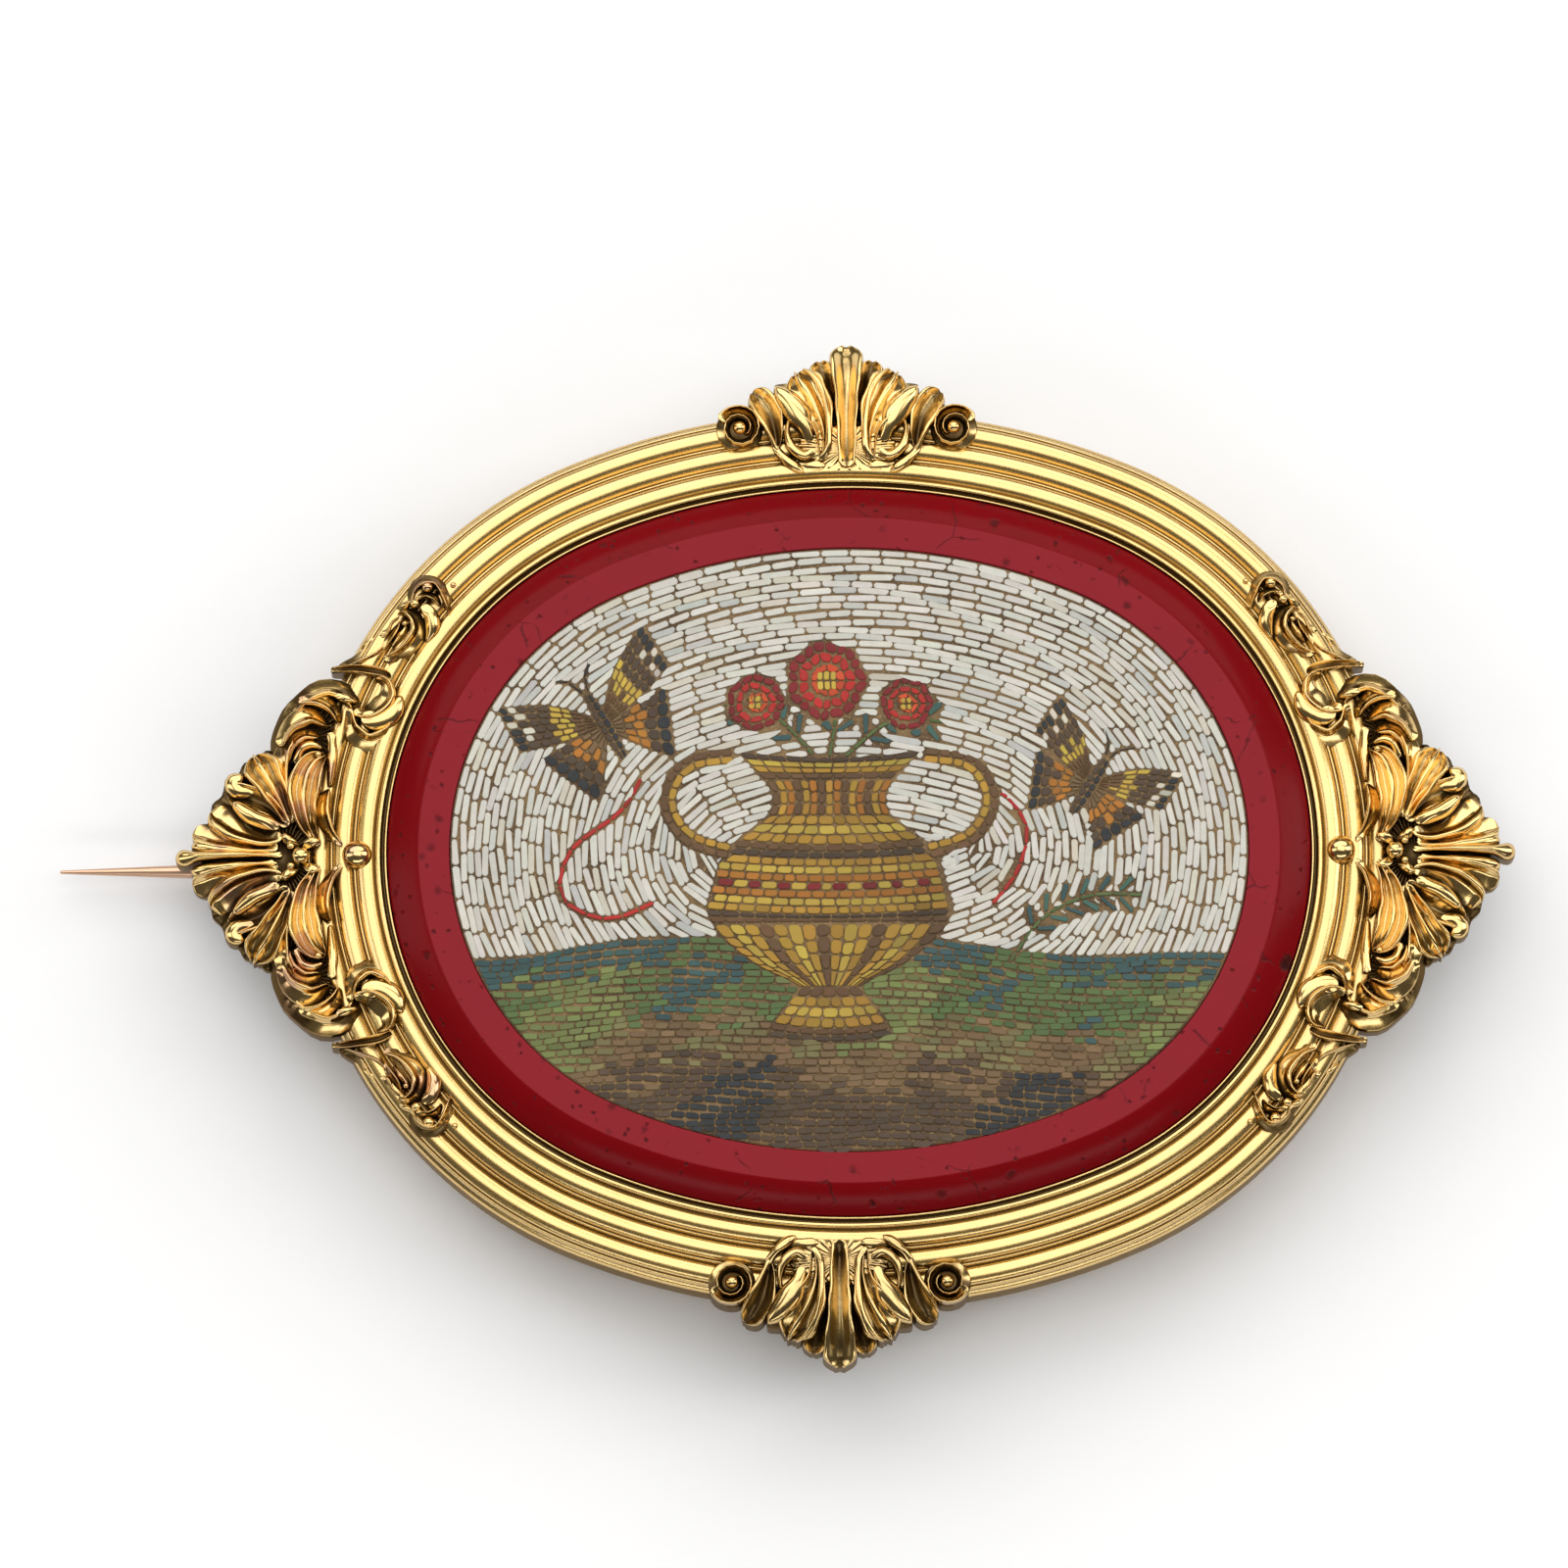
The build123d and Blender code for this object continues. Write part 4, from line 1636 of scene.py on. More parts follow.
        patches = []
        for side in (-1, 1):
            for wing in WINGS:
                even = np.linspace(0, 1, 60)
                lines = [resampled(drawn(side, edge), even) for edge in (wing.front, wing.back)]
                patches.append(Patch(*lines[::-side], wing.rows, 0.50, wing.colours))
            feeler = drawn(side, [(0.02, 0.40), (0.10, 0.62), (0.26, 0.74)])
            patches.append(strip(feeler, 0.06, 1, 0.9, plain(Glass.INK)))
        body = drawn(1, [(0.0, -0.46), (0.0, 0.0), (0.0, 0.42)])
        half = 0.30 * np.sin(np.pi * np.linspace(0.12, 0.9, len(body))) ** 0.6
        patches.append(strip(body, half, 2, 0.42, plain(Glass.INK, Glass.UMBER)))
        return patches

    def picture(self) -> list[Patch]:
        """List the picture's patches, from the back to the front."""
        x, y = self.urn_x, self.urn_foot + 13.0
        return [
            *self.sprig([(x - 0.6, y), (x - 2.6, y + 2.0), (x - 4.9, y + 2.5)], 4, 1.05),
            *self.sprig([(x + 0.7, y), (x + 2.9, y + 1.7), (x + 5.6, y + 1.6)], 4, 1.05),
            *self.sprig([(x, y), (x + 0.3, y + 2.2), (x - 0.2, y + 4.6)], 3, 1.0),
            *self.sprig([(7.4, -5.3), (9.0, -3.2), (11.2, -2.2), (13.6, -2.2)], 6, 1.0),
            self.ribbon((-9.6, 3.4), (-10.6, 1.8), (-12.9, 0.0), (-13.3, -2.2), (-11.2, -3.2), (-9.0, -2.4)),
            self.ribbon((6.5, 3.2), (8.2, 1.2), (7.8, -1.0), (6.6, -2.6)),
            *self.urn(),
            *self.handles(),
            *self.flower(x - 3.4, y + 2.6, 1.35),
            *self.flower(x + 3.6, y + 2.5, 1.25),
            *self.flower(x - 0.1, y + 3.6, 1.85),
            *self.butterfly(-11.3, 5.9, 4.0, 2.1),
            *self.butterfly(11.2, 3.0, 3.5, 1.0),
        ]

    def lay_picture(self) -> Tesserae:
        """Paint the picture's patches on the stencil and lay their tiles.

        Returns:
            The picture's tiles.
        """
        patches = self.picture()
        for number, patch in enumerate(patches, start=self.first_mark):
            self.paint(patch.outline, number)
        laid = Tesserae()
        for number, patch in enumerate(patches, start=self.first_mark):
            across = patch.second - patch.first
            for row in range(patch.rows):
                low = patch.first + across * (row / patch.rows)
                high = patch.first + across * ((row + 1) / patch.rows)
                tiles = self.course(low, high, number, patch.length)
                if not tiles:
                    continue
                aside = np.array([tile.corners[:, 0].mean() for tile in tiles]) - self.urn_x
                shade = patch.shade * (0.5 + aside / 11.0)
                glasses = patch.colours(np.array([tile.share for tile in tiles]), row)
                self.keep(laid, tiles, self.tint(glasses, 0.10, shade), 0.22)
        return laid

    def mastic(self) -> bpy.types.Object:
        """Make the mastic, whose rough top shows between the tesserae.

        Returns:
            The finished piece.
        """
        top, crown = PLAQUE_TOP - 0.095, PLAQUE_TOP - 0.08
        shares = np.concatenate([[0.0], np.linspace(0.02, 1, 60), [1.0, 0.0]])
        heights = np.full(len(shares), top)
        heights[-3] = crown
        heights[-2:] = BED_FOOT
        offsets = np.full(len(shares), POCKET_OFFSET)
        points = turned(offsets, heights, shares, self.mastic_steps)
        quads = grid_faces(len(shares), self.mastic_steps, wrap=True)
        soup = Soup()
        soup.add(*close_poles(points, quads, self.mastic_steps))
        return soup.piece("mastic")

    def dress(self, piece: bpy.types.Object, finish: Tessera | Mastic, node: str, slot: str) -> None:
        """Give a piece its finish and hide the solid that it stands for.

        Args:
            piece: The piece.
            finish: Its finish.
            node: The solid.
            slot: Not used.
        """
        piece.data.materials.append(finish.make())
        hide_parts(node)

    def build(self) -> None:
        """Make the three pieces of tesserae and the mastic."""
        picture = self.lay_picture()
        for laid, name, node, slot in (
            (self.sky(), "sky_tesserae", "mosaic_sky", "sky_tesserae"),
            (self.ground(), "ground_tesserae", "mosaic_ground", "ground_tesserae"),
            (picture, "picture_tesserae", "mosaic_sky", "ground_tesserae"),
        ):
            piece = laid.piece(name, seed=len(laid.corners))
            log.info("%s: %d tiles", name, len(laid.corners))
            self.dress(piece, Tessera(f"{name}_glass"), node, slot)
        self.dress(self.mastic(), Mastic(), "mastic_bed", "mastic")


# The acanthus mounts


class Section(Enum):
    """The cross-sections of the mounts' fronds."""

    LEAF = "hollows between raised rims"
    ROLL = "a rolled rim on the left of a slope"
    TURN = "a rolled rim on the right of a slope"
    ROUND = "half round"


LEAF, ROLL, TURN, ROUND = Section


class Frond(NamedTuple):
    """One frond of a mount.

    relief is the depth of its carving and flutes counts its hollows; knots
    are x, y, half width and height along its middle line. All lengths are in
    millimetres, about the middle of the plaque's oval.
    """

    section: Section
    relief: float
    flutes: int
    knots: list[tuple[float, float, float, float]]


class Bead(NamedTuple):
    """A bead or a volute of a mount: its place, its radius and its top's height."""

    x: float
    y: float
    radius: float
    top: float


class Slab(NamedTuple):
    """A low oval ground under fronds: its place, its half sizes and its top's height."""

    x: float
    y: float
    half_x: float
    half_y: float
    top: float


# The axis of the end mounts leans in the photograph: a place on it, in the
# photograph's pixels, how it falls with the columns and how far off it counts
AXIS_COLUMN, AXIS_ROW = 180 + 50 / 5.057, 690 + 920 / 5.057
AXIS_SLOPE = -45 / 885
AXIS_REACH = 75


@dataclass(frozen=True)
class View:
    """An enlarged view of the photograph, in which a mount was marked.

    left and top are the view's corner and middle is the middle of the oval,
    all in the photograph's pixels, and zoom is the view's enlargement. lift
    puts right, in millimetres, what the mount's height shifts.
    """

    left: float
    top: float
    zoom: float
    middle: tuple[float, float] = (866, 871)
    leaning: bool = True
    lift: float = 0.0
    column_mm: float = 0.0455
    row_mm: float = 0.046

    def place(self, x: float, y: float) -> tuple[float, float]:
        """Turn a mark into millimetres about the oval's middle.

        A leaning mount's marks are measured from its own axis near that axis
        and from the oval's axis far off; the share of its own is exp(-(d/r)²)
        at the distance d, with the axis's reach r.

        Args:
            x: The mark's column in the view.
            y: The mark's row.

        Returns:
            x and y, to a hundredth of a millimetre.
        """
        column, row = self.left + x / self.zoom, self.top + y / self.zoom
        axis = self.middle[1]
        if self.leaning:
            own = AXIS_ROW + (column - AXIS_COLUMN) * AXIS_SLOPE
            near = np.exp(-(((own - row) / AXIS_REACH) ** 2))
            axis = near * own + (1 - near) * axis
        across = (axis - row) * self.row_mm + self.lift
        return round((self.middle[0] - column) * self.column_mm, 2), round(across, 2)

    def size(self, pixels: float) -> float:
        """Turn a size in the view into millimetres, to a hundredth."""
        return round(pixels * self.column_mm / self.zoom, 2)

    def frond(self, section: Section, relief: float, flutes: int, *marks: tuple) -> Frond:
        """Make a frond from its marks.

        Args:
            section: Its cross-section.
            relief: The depth of its carving, in millimetres.
            flutes: The number of its hollows.
            marks: Column, row and half width in the view, and height in millimetres.

        Returns:
            The frond.
        """
        knots = [(*self.place(x, y), self.size(half), top) for x, y, half, top in marks]
        return Frond(section, relief, flutes, knots)

    def bead(self, x: float, y: float, radius: float, top: float) -> Bead:
        """Make a bead from its column, row and radius in the view, and its height."""
        return Bead(*self.place(x, y), self.size(radius), top)


FAN = View(180, 690, 5.057)
SCROLL = View(290, 570, 8.25)
CREST = View(715, 340, 5.41, middle=(868, 869), leaning=False, lift=0.04)

# The upper half of an end mount: the fan's leaves, the leaves between them,
# the big scroll over the fan, and the leaves and rings of the upper scroll
SIDE_HALF = [
    FAN.frond(LEAF, 0.42, 2,
        (600, 720, 30, 6.2), (545, 600, 62, 6.35), (478, 480, 92, 6.25), (415, 372, 100, 5.75)),
    FAN.frond(ROUND, 0.35, 1,
        (420, 560, 24, 5.7), (350, 562, 48, 5.75), (326, 518, 52, 5.7), (372, 488, 30, 5.75)),
    FAN.frond(LEAF, 0.36, 1,
        (590, 740, 26, 6.2), (500, 645, 54, 6.1), (400, 595, 72, 5.9), (285, 580, 78, 5.6)),
    FAN.frond(TURN, 0.45, 1,
        (560, 795, 28, 6.3), (470, 798, 54, 6.3), (350, 762, 76, 6.15), (208, 664, 96, 5.7)),
    FAN.frond(ROUND, 0.40, 1,
        (545, 752, 16, 6.3), (480, 722, 42, 6.5), (405, 690, 44, 6.4), (318, 622, 26, 6.0)),
    FAN.frond(TURN, 0.42, 1,
        (540, 848, 22, 6.2), (420, 842, 46, 6.2), (280, 815, 68, 6.0), (116, 778, 82, 5.6)),
    FAN.frond(ROUND, 0.34, 1,
        (520, 868, 12, 6.2), (330, 868, 24, 6.1), (200, 862, 34, 5.9), (110, 848, 36, 5.6)),
    FAN.frond(LEAF, 0.40, 2,
        (745, 835, 18, 6.5), (690, 730, 50, 6.9), (668, 610, 78, 7.05), (684, 505, 88, 7.1),
        (724, 430, 62, 7.0), (782, 392, 24, 6.8)),
    FAN.frond(ROLL, 0.40, 1,
        (858, 830, 12, 6.7), (802, 770, 28, 7.0), (768, 690, 38, 7.1), (772, 610, 32, 7.1),
        (796, 556, 12, 6.95)),
    FAN.frond(ROUND, 0.22, 1,
        (700, 800, 14, 6.4), (698, 700, 20, 6.5), (695, 600, 22, 6.5), (715, 520, 12, 6.5)),
    FAN.frond(ROLL, 0.42, 1,
        (612, 720, 22, 6.0), (575, 610, 36, 6.3), (560, 480, 44, 6.5), (566, 380, 46, 6.6),
        (610, 300, 34, 6.6)),
    FAN.frond(ROLL, 0.50, 1,
        (528, 440, 18, 5.5), (532, 310, 30, 5.9), (585, 190, 42, 6.2), (672, 98, 48, 6.5),
        (775, 45, 56, 6.7), (870, 72, 54, 6.8), (925, 150, 34, 6.8), (905, 215, 14, 6.5)),
    FAN.frond(ROLL, 0.45, 1,
        (548, 345, 20, 6.5), (600, 245, 48, 6.9), (700, 195, 52, 7.0), (795, 245, 20, 6.8)),
    FAN.frond(ROLL, 0.38, 1,
        (580, 430, 20, 6.4), (604, 330, 46, 6.7), (668, 282, 48, 6.8), (752, 300, 20, 6.7)),
    FAN.frond(ROUND, 0.34, 1,
        (632, 432, 16, 6.4), (662, 362, 30, 6.65), (712, 340, 28, 6.65), (766, 362, 14, 6.5)),
    FAN.frond(ROUND, 0.30, 1,
        (806, 280, 22, 6.6), (812, 370, 28, 6.65), (806, 470, 26, 6.6), (800, 545, 14, 6.5)),
    FAN.frond(ROLL, 0.40, 1,
        (645, 120, 18, 6.6), (740, 112, 40, 6.95), (820, 165, 36, 7.0), (848, 235, 12, 6.8)),
    FAN.frond(ROUND, 0.25, 1, (830, 95, 10, 6.8), (885, 112, 26, 7.0), (935, 130, 12, 6.8)),
    FAN.frond(ROLL, 0.50, 1,
        (920, 185, 16, 6.9), (1000, 178, 48, 7.2), (1078, 112, 52, 7.2), (1080, 40, 40, 7.2),
        (1030, 8, 14, 7.0)),
    FAN.frond(TURN, 0.50, 1,
        (898, 165, 18, 6.9), (915, 272, 46, 7.2), (990, 330, 54, 7.2), (1080, 300, 46, 7.2),
        (1120, 230, 16, 7.0)),
    FAN.frond(ROUND, 0.30, 1,
        (960, 200, 30, 6.9), (1040, 225, 66, 7.08), (1120, 170, 56, 7.05), (1155, 95, 20, 6.9)),
    FAN.frond(ROUND, 0.34, 1, (640, 842, 14, 6.1), (600, 812, 34, 6.4), (562, 775, 30, 6.4)),
    FAN.frond(ROUND, 0.30, 1, (672, 846, 14, 6.4), (712, 818, 30, 6.7), (752, 812, 16, 6.7)),
    SCROLL.frond(LEAF, 0.22, 1,
        (405, 905, 22, 5.9), (600, 912, 36, 6.6), (800, 945, 42, 6.9), (895, 990, 26, 6.8)),
    SCROLL.frond(ROLL, 0.40, 1,
        (470, 880, 16, 5.6), (620, 815, 52, 6.1), (760, 740, 56, 6.3), (850, 670, 16, 6.2)),
    SCROLL.frond(ROUND, 0.30, 1, (655, 725, 14, 5.4), (735, 655, 34, 5.7), (795, 615, 14, 5.6)),
    SCROLL.frond(TURN, 0.52, 1,
        (835, 838, 20, 6.7), (950, 808, 56, 7.05), (1065, 725, 86, 7.2), (1128, 605, 90, 7.2),
        (1100, 495, 70, 7.15), (1015, 432, 42, 7.0), (945, 450, 14, 6.8)),
    SCROLL.frond(ROLL, 0.32, 1,
        (830, 745, 12, 6.2), (880, 645, 38, 6.45), (935, 560, 36, 6.5), (965, 510, 12, 6.4)),
    SCROLL.frond(ROUND, 0.32, 1,
        (905, 725, 10, 6.2), (965, 645, 32, 6.5), (1010, 575, 26, 6.5), (1025, 520, 10, 6.45)),
    SCROLL.frond(ROLL, 0.32, 1,
        (795, 650, 10, 5.9), (850, 600, 30, 6.3), (890, 520, 30, 6.4), (960, 470, 12, 6.5)),
    SCROLL.frond(ROLL, 0.42, 1,
        (1055, 370, 20, 6.4), (1068, 255, 42, 6.8), (1145, 180, 50, 7.0), (1250, 180, 48, 7.0),
        (1325, 265, 50, 7.0), (1365, 380, 42, 6.9), (1378, 485, 16, 6.7)),
    SCROLL.frond(ROLL, 0.32, 1,
        (1085, 345, 16, 6.6), (1170, 300, 30, 7.0), (1255, 330, 34, 7.05), (1298, 395, 12, 6.9)),
    SCROLL.frond(ROUND, 0.34, 1,
        (1150, 395, 26, 6.8), (1215, 465, 66, 7.0), (1235, 590, 66, 6.95), (1180, 710, 20, 6.7)),
    SCROLL.frond(ROUND, 0.30, 1, (940, 420, 18, 5.9), (1000, 385, 40, 6.3), (1060, 340, 26, 6.5)),
]
# The fan's middle rib
SIDE_MIDDLE = [
    FAN.frond(ROUND, 0.36, 1,
        (560, 885, 14, 6.2), (350, 893, 18, 6.45), (160, 905, 26, 6.2), (92, 914, 46, 5.9),
        (32, 918, 50, 5.7)),
]
SIDE_BEADS = [
    FAN.bead(935, 875, 76, 7.2),
    FAN.bead(655, 889, 46, 6.9),
    FAN.bead(742, 392, 18, 6.85),
    FAN.bead(606, 842, 20, 6.6),
    SCROLL.bead(1190, 238, 46, 7.05),
    SCROLL.bead(1092, 372, 38, 6.8),
    SCROLL.bead(1010, 545, 22, 6.9),
    SCROLL.bead(1400, 215, 26, 6.6),
]
SIDE_SLABS = [
    Slab(26.2, 0.0, 2.4, 2.6, 5.5),
    Slab(25.6, 0.0, 4.15, 5.3, 5.0),
    Slab(24.8, 5.6, 1.5, 2.0, 5.8),
]

# The left half of a small mount: its leaves, their ribs and the stems between
TOP_HALF = [
    CREST.frond(LEAF, 0.34, 1,
        (770, 520, 18, 6.4), (742, 390, 48, 6.5), (705, 265, 64, 6.4), (680, 130, 74, 6.1)),
    CREST.frond(LEAF, 0.36, 2,
        (690, 700, 20, 6.8), (700, 560, 46, 7.1), (660, 420, 92, 7.15), (600, 305, 110, 7.0),
        (540, 205, 104, 6.6)),
    CREST.frond(ROUND, 0.16, 1,
        (680, 705, 12, 6.9), (722, 640, 18, 7.18), (728, 520, 16, 7.2), (715, 400, 16, 7.2),
        (685, 300, 15, 7.1), (635, 228, 14, 6.9), (585, 196, 10, 6.7)),
    CREST.frond(ROUND, 0.42, 1,
        (625, 600, 16, 6.9), (590, 500, 54, 7.15), (530, 405, 66, 7.15), (470, 335, 44, 7.0),
        (432, 292, 12, 6.8)),
    CREST.frond(TURN, 0.30, 1,
        (640, 500, 12, 6.9), (600, 385, 34, 7.1), (525, 315, 36, 7.0), (430, 288, 12, 6.7)),
    CREST.frond(ROUND, 0.26, 1,
        (650, 650, 14, 7.0), (590, 680, 26, 7.1), (525, 635, 26, 7.1), (500, 560, 18, 7.0),
        (506, 480, 9, 6.9)),
    CREST.frond(LEAF, 0.36, 1,
        (440, 650, 12, 6.5), (432, 540, 46, 6.7), (400, 430, 70, 6.7), (345, 350, 76, 6.5),
        (300, 305, 60, 6.2)),
    CREST.frond(ROUND, 0.14, 1,
        (440, 640, 8, 6.8), (385, 530, 13, 6.9), (325, 435, 13, 6.8), (288, 355, 9, 6.5)),
    CREST.frond(ROUND, 0.26, 1,
        (425, 620, 14, 6.6), (480, 690, 26, 6.9), (550, 745, 30, 6.9), (600, 775, 14, 6.7)),
    CREST.frond(ROUND, 0.26, 1, (545, 735, 22, 6.6), (630, 730, 38, 6.8), (715, 735, 26, 6.8)),
]
# The middle leaf of a small mount
TOP_MIDDLE = [
    CREST.frond(LEAF, 0.34, 1,
        (828, 745, 44, 7.12), (828, 560, 52, 7.2), (828, 400, 62, 7.18), (828, 250, 76, 7.02),
        (828, 150, 90, 6.76), (828, 47, 96, 6.38)),
]
TOP_VOLUTES = [Bead(4.98, 19.95, 1.15, 7.02)]
TOP_SLABS = [Slab(0.0, 20.2, 2.9, 1.8, 5.5), Slab(0.0, 18.95, 2.3, 1.2, 6.70)]


class Pattern(NamedTuple):
    """What a pair of mounts share.

    halves, beads, volutes and slabs off the mount's axis stand on both sides
    of it; mirror turns one side into the other, and spread widens every frond.
    """

    halves: list[Frond]
    middle: list[Frond]
    beads: list[Bead]
    volutes: list[Bead]
    slabs: list[Slab]
    mirror: tuple[int, int]
    spread: float


SIDE = Pattern(SIDE_HALF, SIDE_MIDDLE, SIDE_BEADS, [], SIDE_SLABS, (1, -1), 0.94)
TOP = Pattern(TOP_HALF, TOP_MIDDLE, [], TOP_VOLUTES, TOP_SLABS, (-1, 1), 1.06)


@dataclass
class Mount:
    """One cast and chased acanthus mount, soldered over the border.

    turn puts the pattern on its own side of the brooch, stretch draws it out
    from its inner bead, and shift moves it. rosy sets its blush; tarnish sets
    how dark its recesses are, patina with painted shade; bright scales its
    gold's colour, and below 1 paints the whole mount as shaded.
    """

    name: str
    pattern: Pattern
    turn: tuple[int, int] = (1, 1)
    rosy: float = 0.0
    tarnish: float = 0.56
    bright: float = 1.0
    stretch: float = 1.0
    shift: tuple[float, float] = (0.0, 0.0)
    foot: float = BACK_TOP + 0.95
    leaf_level: float = 6.9
    rim: float = 0.16
    roll: float = 0.38
    rays: int = 25
    rows: int = 30
    columns: int = 21
    slab_steps: int = 150
    bead_steps: int = 24
    volute_steps: int = 28

    def relief(self, frond: Frond, u: np.ndarray) -> np.ndarray:
        """Work out how far a section lies below its crest.

        Half round is 1 - √(1 - u²). A leaf has cosine hollows between rounded
        rims, and a roll is a slope that ends in a rounded rim.

        Args:
            frond: The frond.
            u: Places across, from -1 to 1.

        Returns:
            Shares of the frond's relief.
        """
        if frond.section is ROUND:
            return 1.1 * (1 - np.sqrt(1 - u**2 * 0.999))
        if frond.section is LEAF:
            flat = 1 - self.rim
            inner = np.clip(u / flat, -1, 1)
            hollow = 0.5 - 0.5 * np.cos(np.pi * frond.flutes * (inner + 1))
            over = np.clip((np.abs(u) - flat) / self.rim, 0, 0.999)
            return 0.85 * hollow ** 0.8 + 0.25 * (1 - inner**2) + 0.9 * (1 - np.sqrt(1 - over**2))
        v = u if frond.section is ROLL else -u
        edge = 1 - self.roll
        over = np.clip((v - edge) / self.roll, 0, 0.999)
        slope = np.clip((edge - v) / (1 + edge), 0, 1)
        return 0.75 * ramp(slope, 0.02, 0.30) + 0.75 * slope**1.4 + 1.1 * (1 - np.sqrt(1 - over**2))

    def frond(self, soup: Soup, frond: Frond) -> None:
        """Add a frond's closed shell.

        Its point at (t, u) is the middle line at t plus u times the half width
        along the line's normal. Towards both ends the half width follows a
        circle, and a leaf's tip is pulled back in its hollows. The carving is
        shallower towards both ends, and the shell goes straight down to the
        mount's foot.

        Args:
            soup: Where the shell goes.
            frond: The frond.
        """
        leaf = frond.section is LEAF
        first_x, first_y = frond.knots[0][:2]
        t = 0.5 - 0.5 * np.cos(np.pi * np.linspace(0, 1, self.rows))
        line = resampled(smooth_path(frond.knots), t)
        flat, wide, crest = line[:, :2], line[:, 2] * self.pattern.spread, line[:, 3]
        along, normal = headings(flat, t)
        far = run_length(flat)
        tip = np.clip((far[-1] - far) / np.maximum(wide, 0.12), 0, 1)
        root = np.clip(far / np.maximum(wide, 0.12) * 1.2, 0, 1)
        cap = np.sqrt(1 - (1 - tip) ** 2)
        half = wide * np.maximum(cap, 0.30 if leaf else 0.10)
        half = half * np.maximum(np.sqrt(1 - (1 - root) ** 2), 0.25)
        u = np.sin(np.linspace(-np.pi / 2, np.pi / 2, self.columns)) * 0.45
        u = u + np.linspace(-0.55, 0.55, self.columns)
        below = self.relief(frond, u)
        carve = frond.relief * 1.15 * (ramp(tip, 0.0, 0.6) * 0.55 + 0.45) * ramp(far, 0.0, 0.8)
        drop = carve[:, None] * below[None, :] + (frond.relief * 0.8 * (1 - cap))[:, None]
        ripple = 0.03 * np.sin(far * 3.1 + first_x * 7)[:, None] * np.abs(u)[None, :]
        z = crest[:, None] - drop + ripple
        pull = np.zeros_like(u)
        if leaf:
            pull = 0.12 * u**2 + 0.16 * (0.5 - 0.5 * np.cos(np.pi * frond.flutes * (u + 1)))
        back = (wide * (1 - ramp(tip, 0.0, 1.0)))[:, None] * pull[None, :]
        wave = half * (1 + 0.05 * np.sin(far * 4.3 + first_y * 5))
        top = flat[:, None] + normal[:, None] * (wave[:, None] * u[None, :])[..., None]
        top = np.concatenate([top - along[:, None] * back[..., None], z[..., None]], axis=-1)
        under = top[:, ::-5].copy()
        under[..., 2] = self.foot
        points = np.concatenate([top, under], axis=1)
        caps = np.stack([points[0].mean(axis=0), points[-1].mean(axis=0)])
        # hollow darkens the gold in the carved hollows and on the shell's hidden sides: patina with painted
        # shade.
        depth = 1.0 if leaf or frond.section is ROUND else 0.42
        hollow = depth * np.clip(below - 0.15, 0, 1)[None, :]
        hollow = hollow * (1 - ramp(far, 0.0, 2.5) * 0.45)[:, None]
        hollow = np.concatenate([hollow, np.ones((self.rows, under.shape[1]))], axis=1)
        hollow = np.concatenate([hollow.ravel(), [1.0, 0.5]])
        faces = tube_faces(*points.shape[:2])
        soup.add(np.concatenate([points.reshape(-1, 3), caps]), faces, hollow=hollow)

    def round(self, soup: Soup, bead: Bead, far: np.ndarray, z: np.ndarray, steps: int) -> None:
        """Add a shell turned about a bead's axis.

        Args:
            soup: Where the shell goes.
            bead: The bead.
            far: Distances from the axis, from the top down.
            z: Heights.
            steps: Places round the axis.
        """
        points, faces = round_grid(far, z, steps)
        points[:, :2] += [bead.x, bead.y]
        soup.add(points, faces, hollow=np.zeros(len(points)))

    def volute(self, soup: Soup, volute: Bead) -> None:
        """Add a volute: a hollowed band that winds in towards a bead.

        The band's middle line is a spiral of 1.6 turns whose radius falls
        evenly with its angle, and a round ground lies under it.

        Args:
            soup: Where the shells go.
            volute: The volute.
        """
        x, y, radius, top = volute
        t = np.linspace(0, 1, 16)
        angle = TAU * (0.05 + 1.60 * t)
        far = radius * (0.80 - 0.50 * t)
        half = radius * (0.21 - 0.08 * t)
        columns = [x + far * np.cos(angle), y + far * np.sin(angle), half, top - 0.15 * t]
        knots = [tuple(row) for row in np.stack(columns, axis=-1)]
        self.frond(soup, Frond(TURN, 0.48, 1, knots))
        self.bead(soup, Bead(x, y, radius * 0.27, top - 0.05))
        out = np.array([0.0, 0.9, 0.95, 0.95, 0.0]) * radius
        z = np.array([top - 0.8, top - 0.8, top - 0.9, self.foot, self.foot])
        self.round(soup, volute, out, z, self.volute_steps)

    def bead(self, soup: Soup, bead: Bead) -> None:
        """Add a round bead on a post.

        Args:
            soup: Where the shell goes.
            bead: The bead.
        """
        post = 0.76 * bead.radius
        angle = np.linspace(0, np.pi * 0.72, 10)
        far = np.concatenate([np.sin(angle) * bead.radius, [post, 0.0]])
        ball = bead.top - bead.radius + np.cos(angle) * bead.radius
        z = np.concatenate([ball, [self.foot, self.foot]])
        self.round(soup, bead, far, z, self.bead_steps)

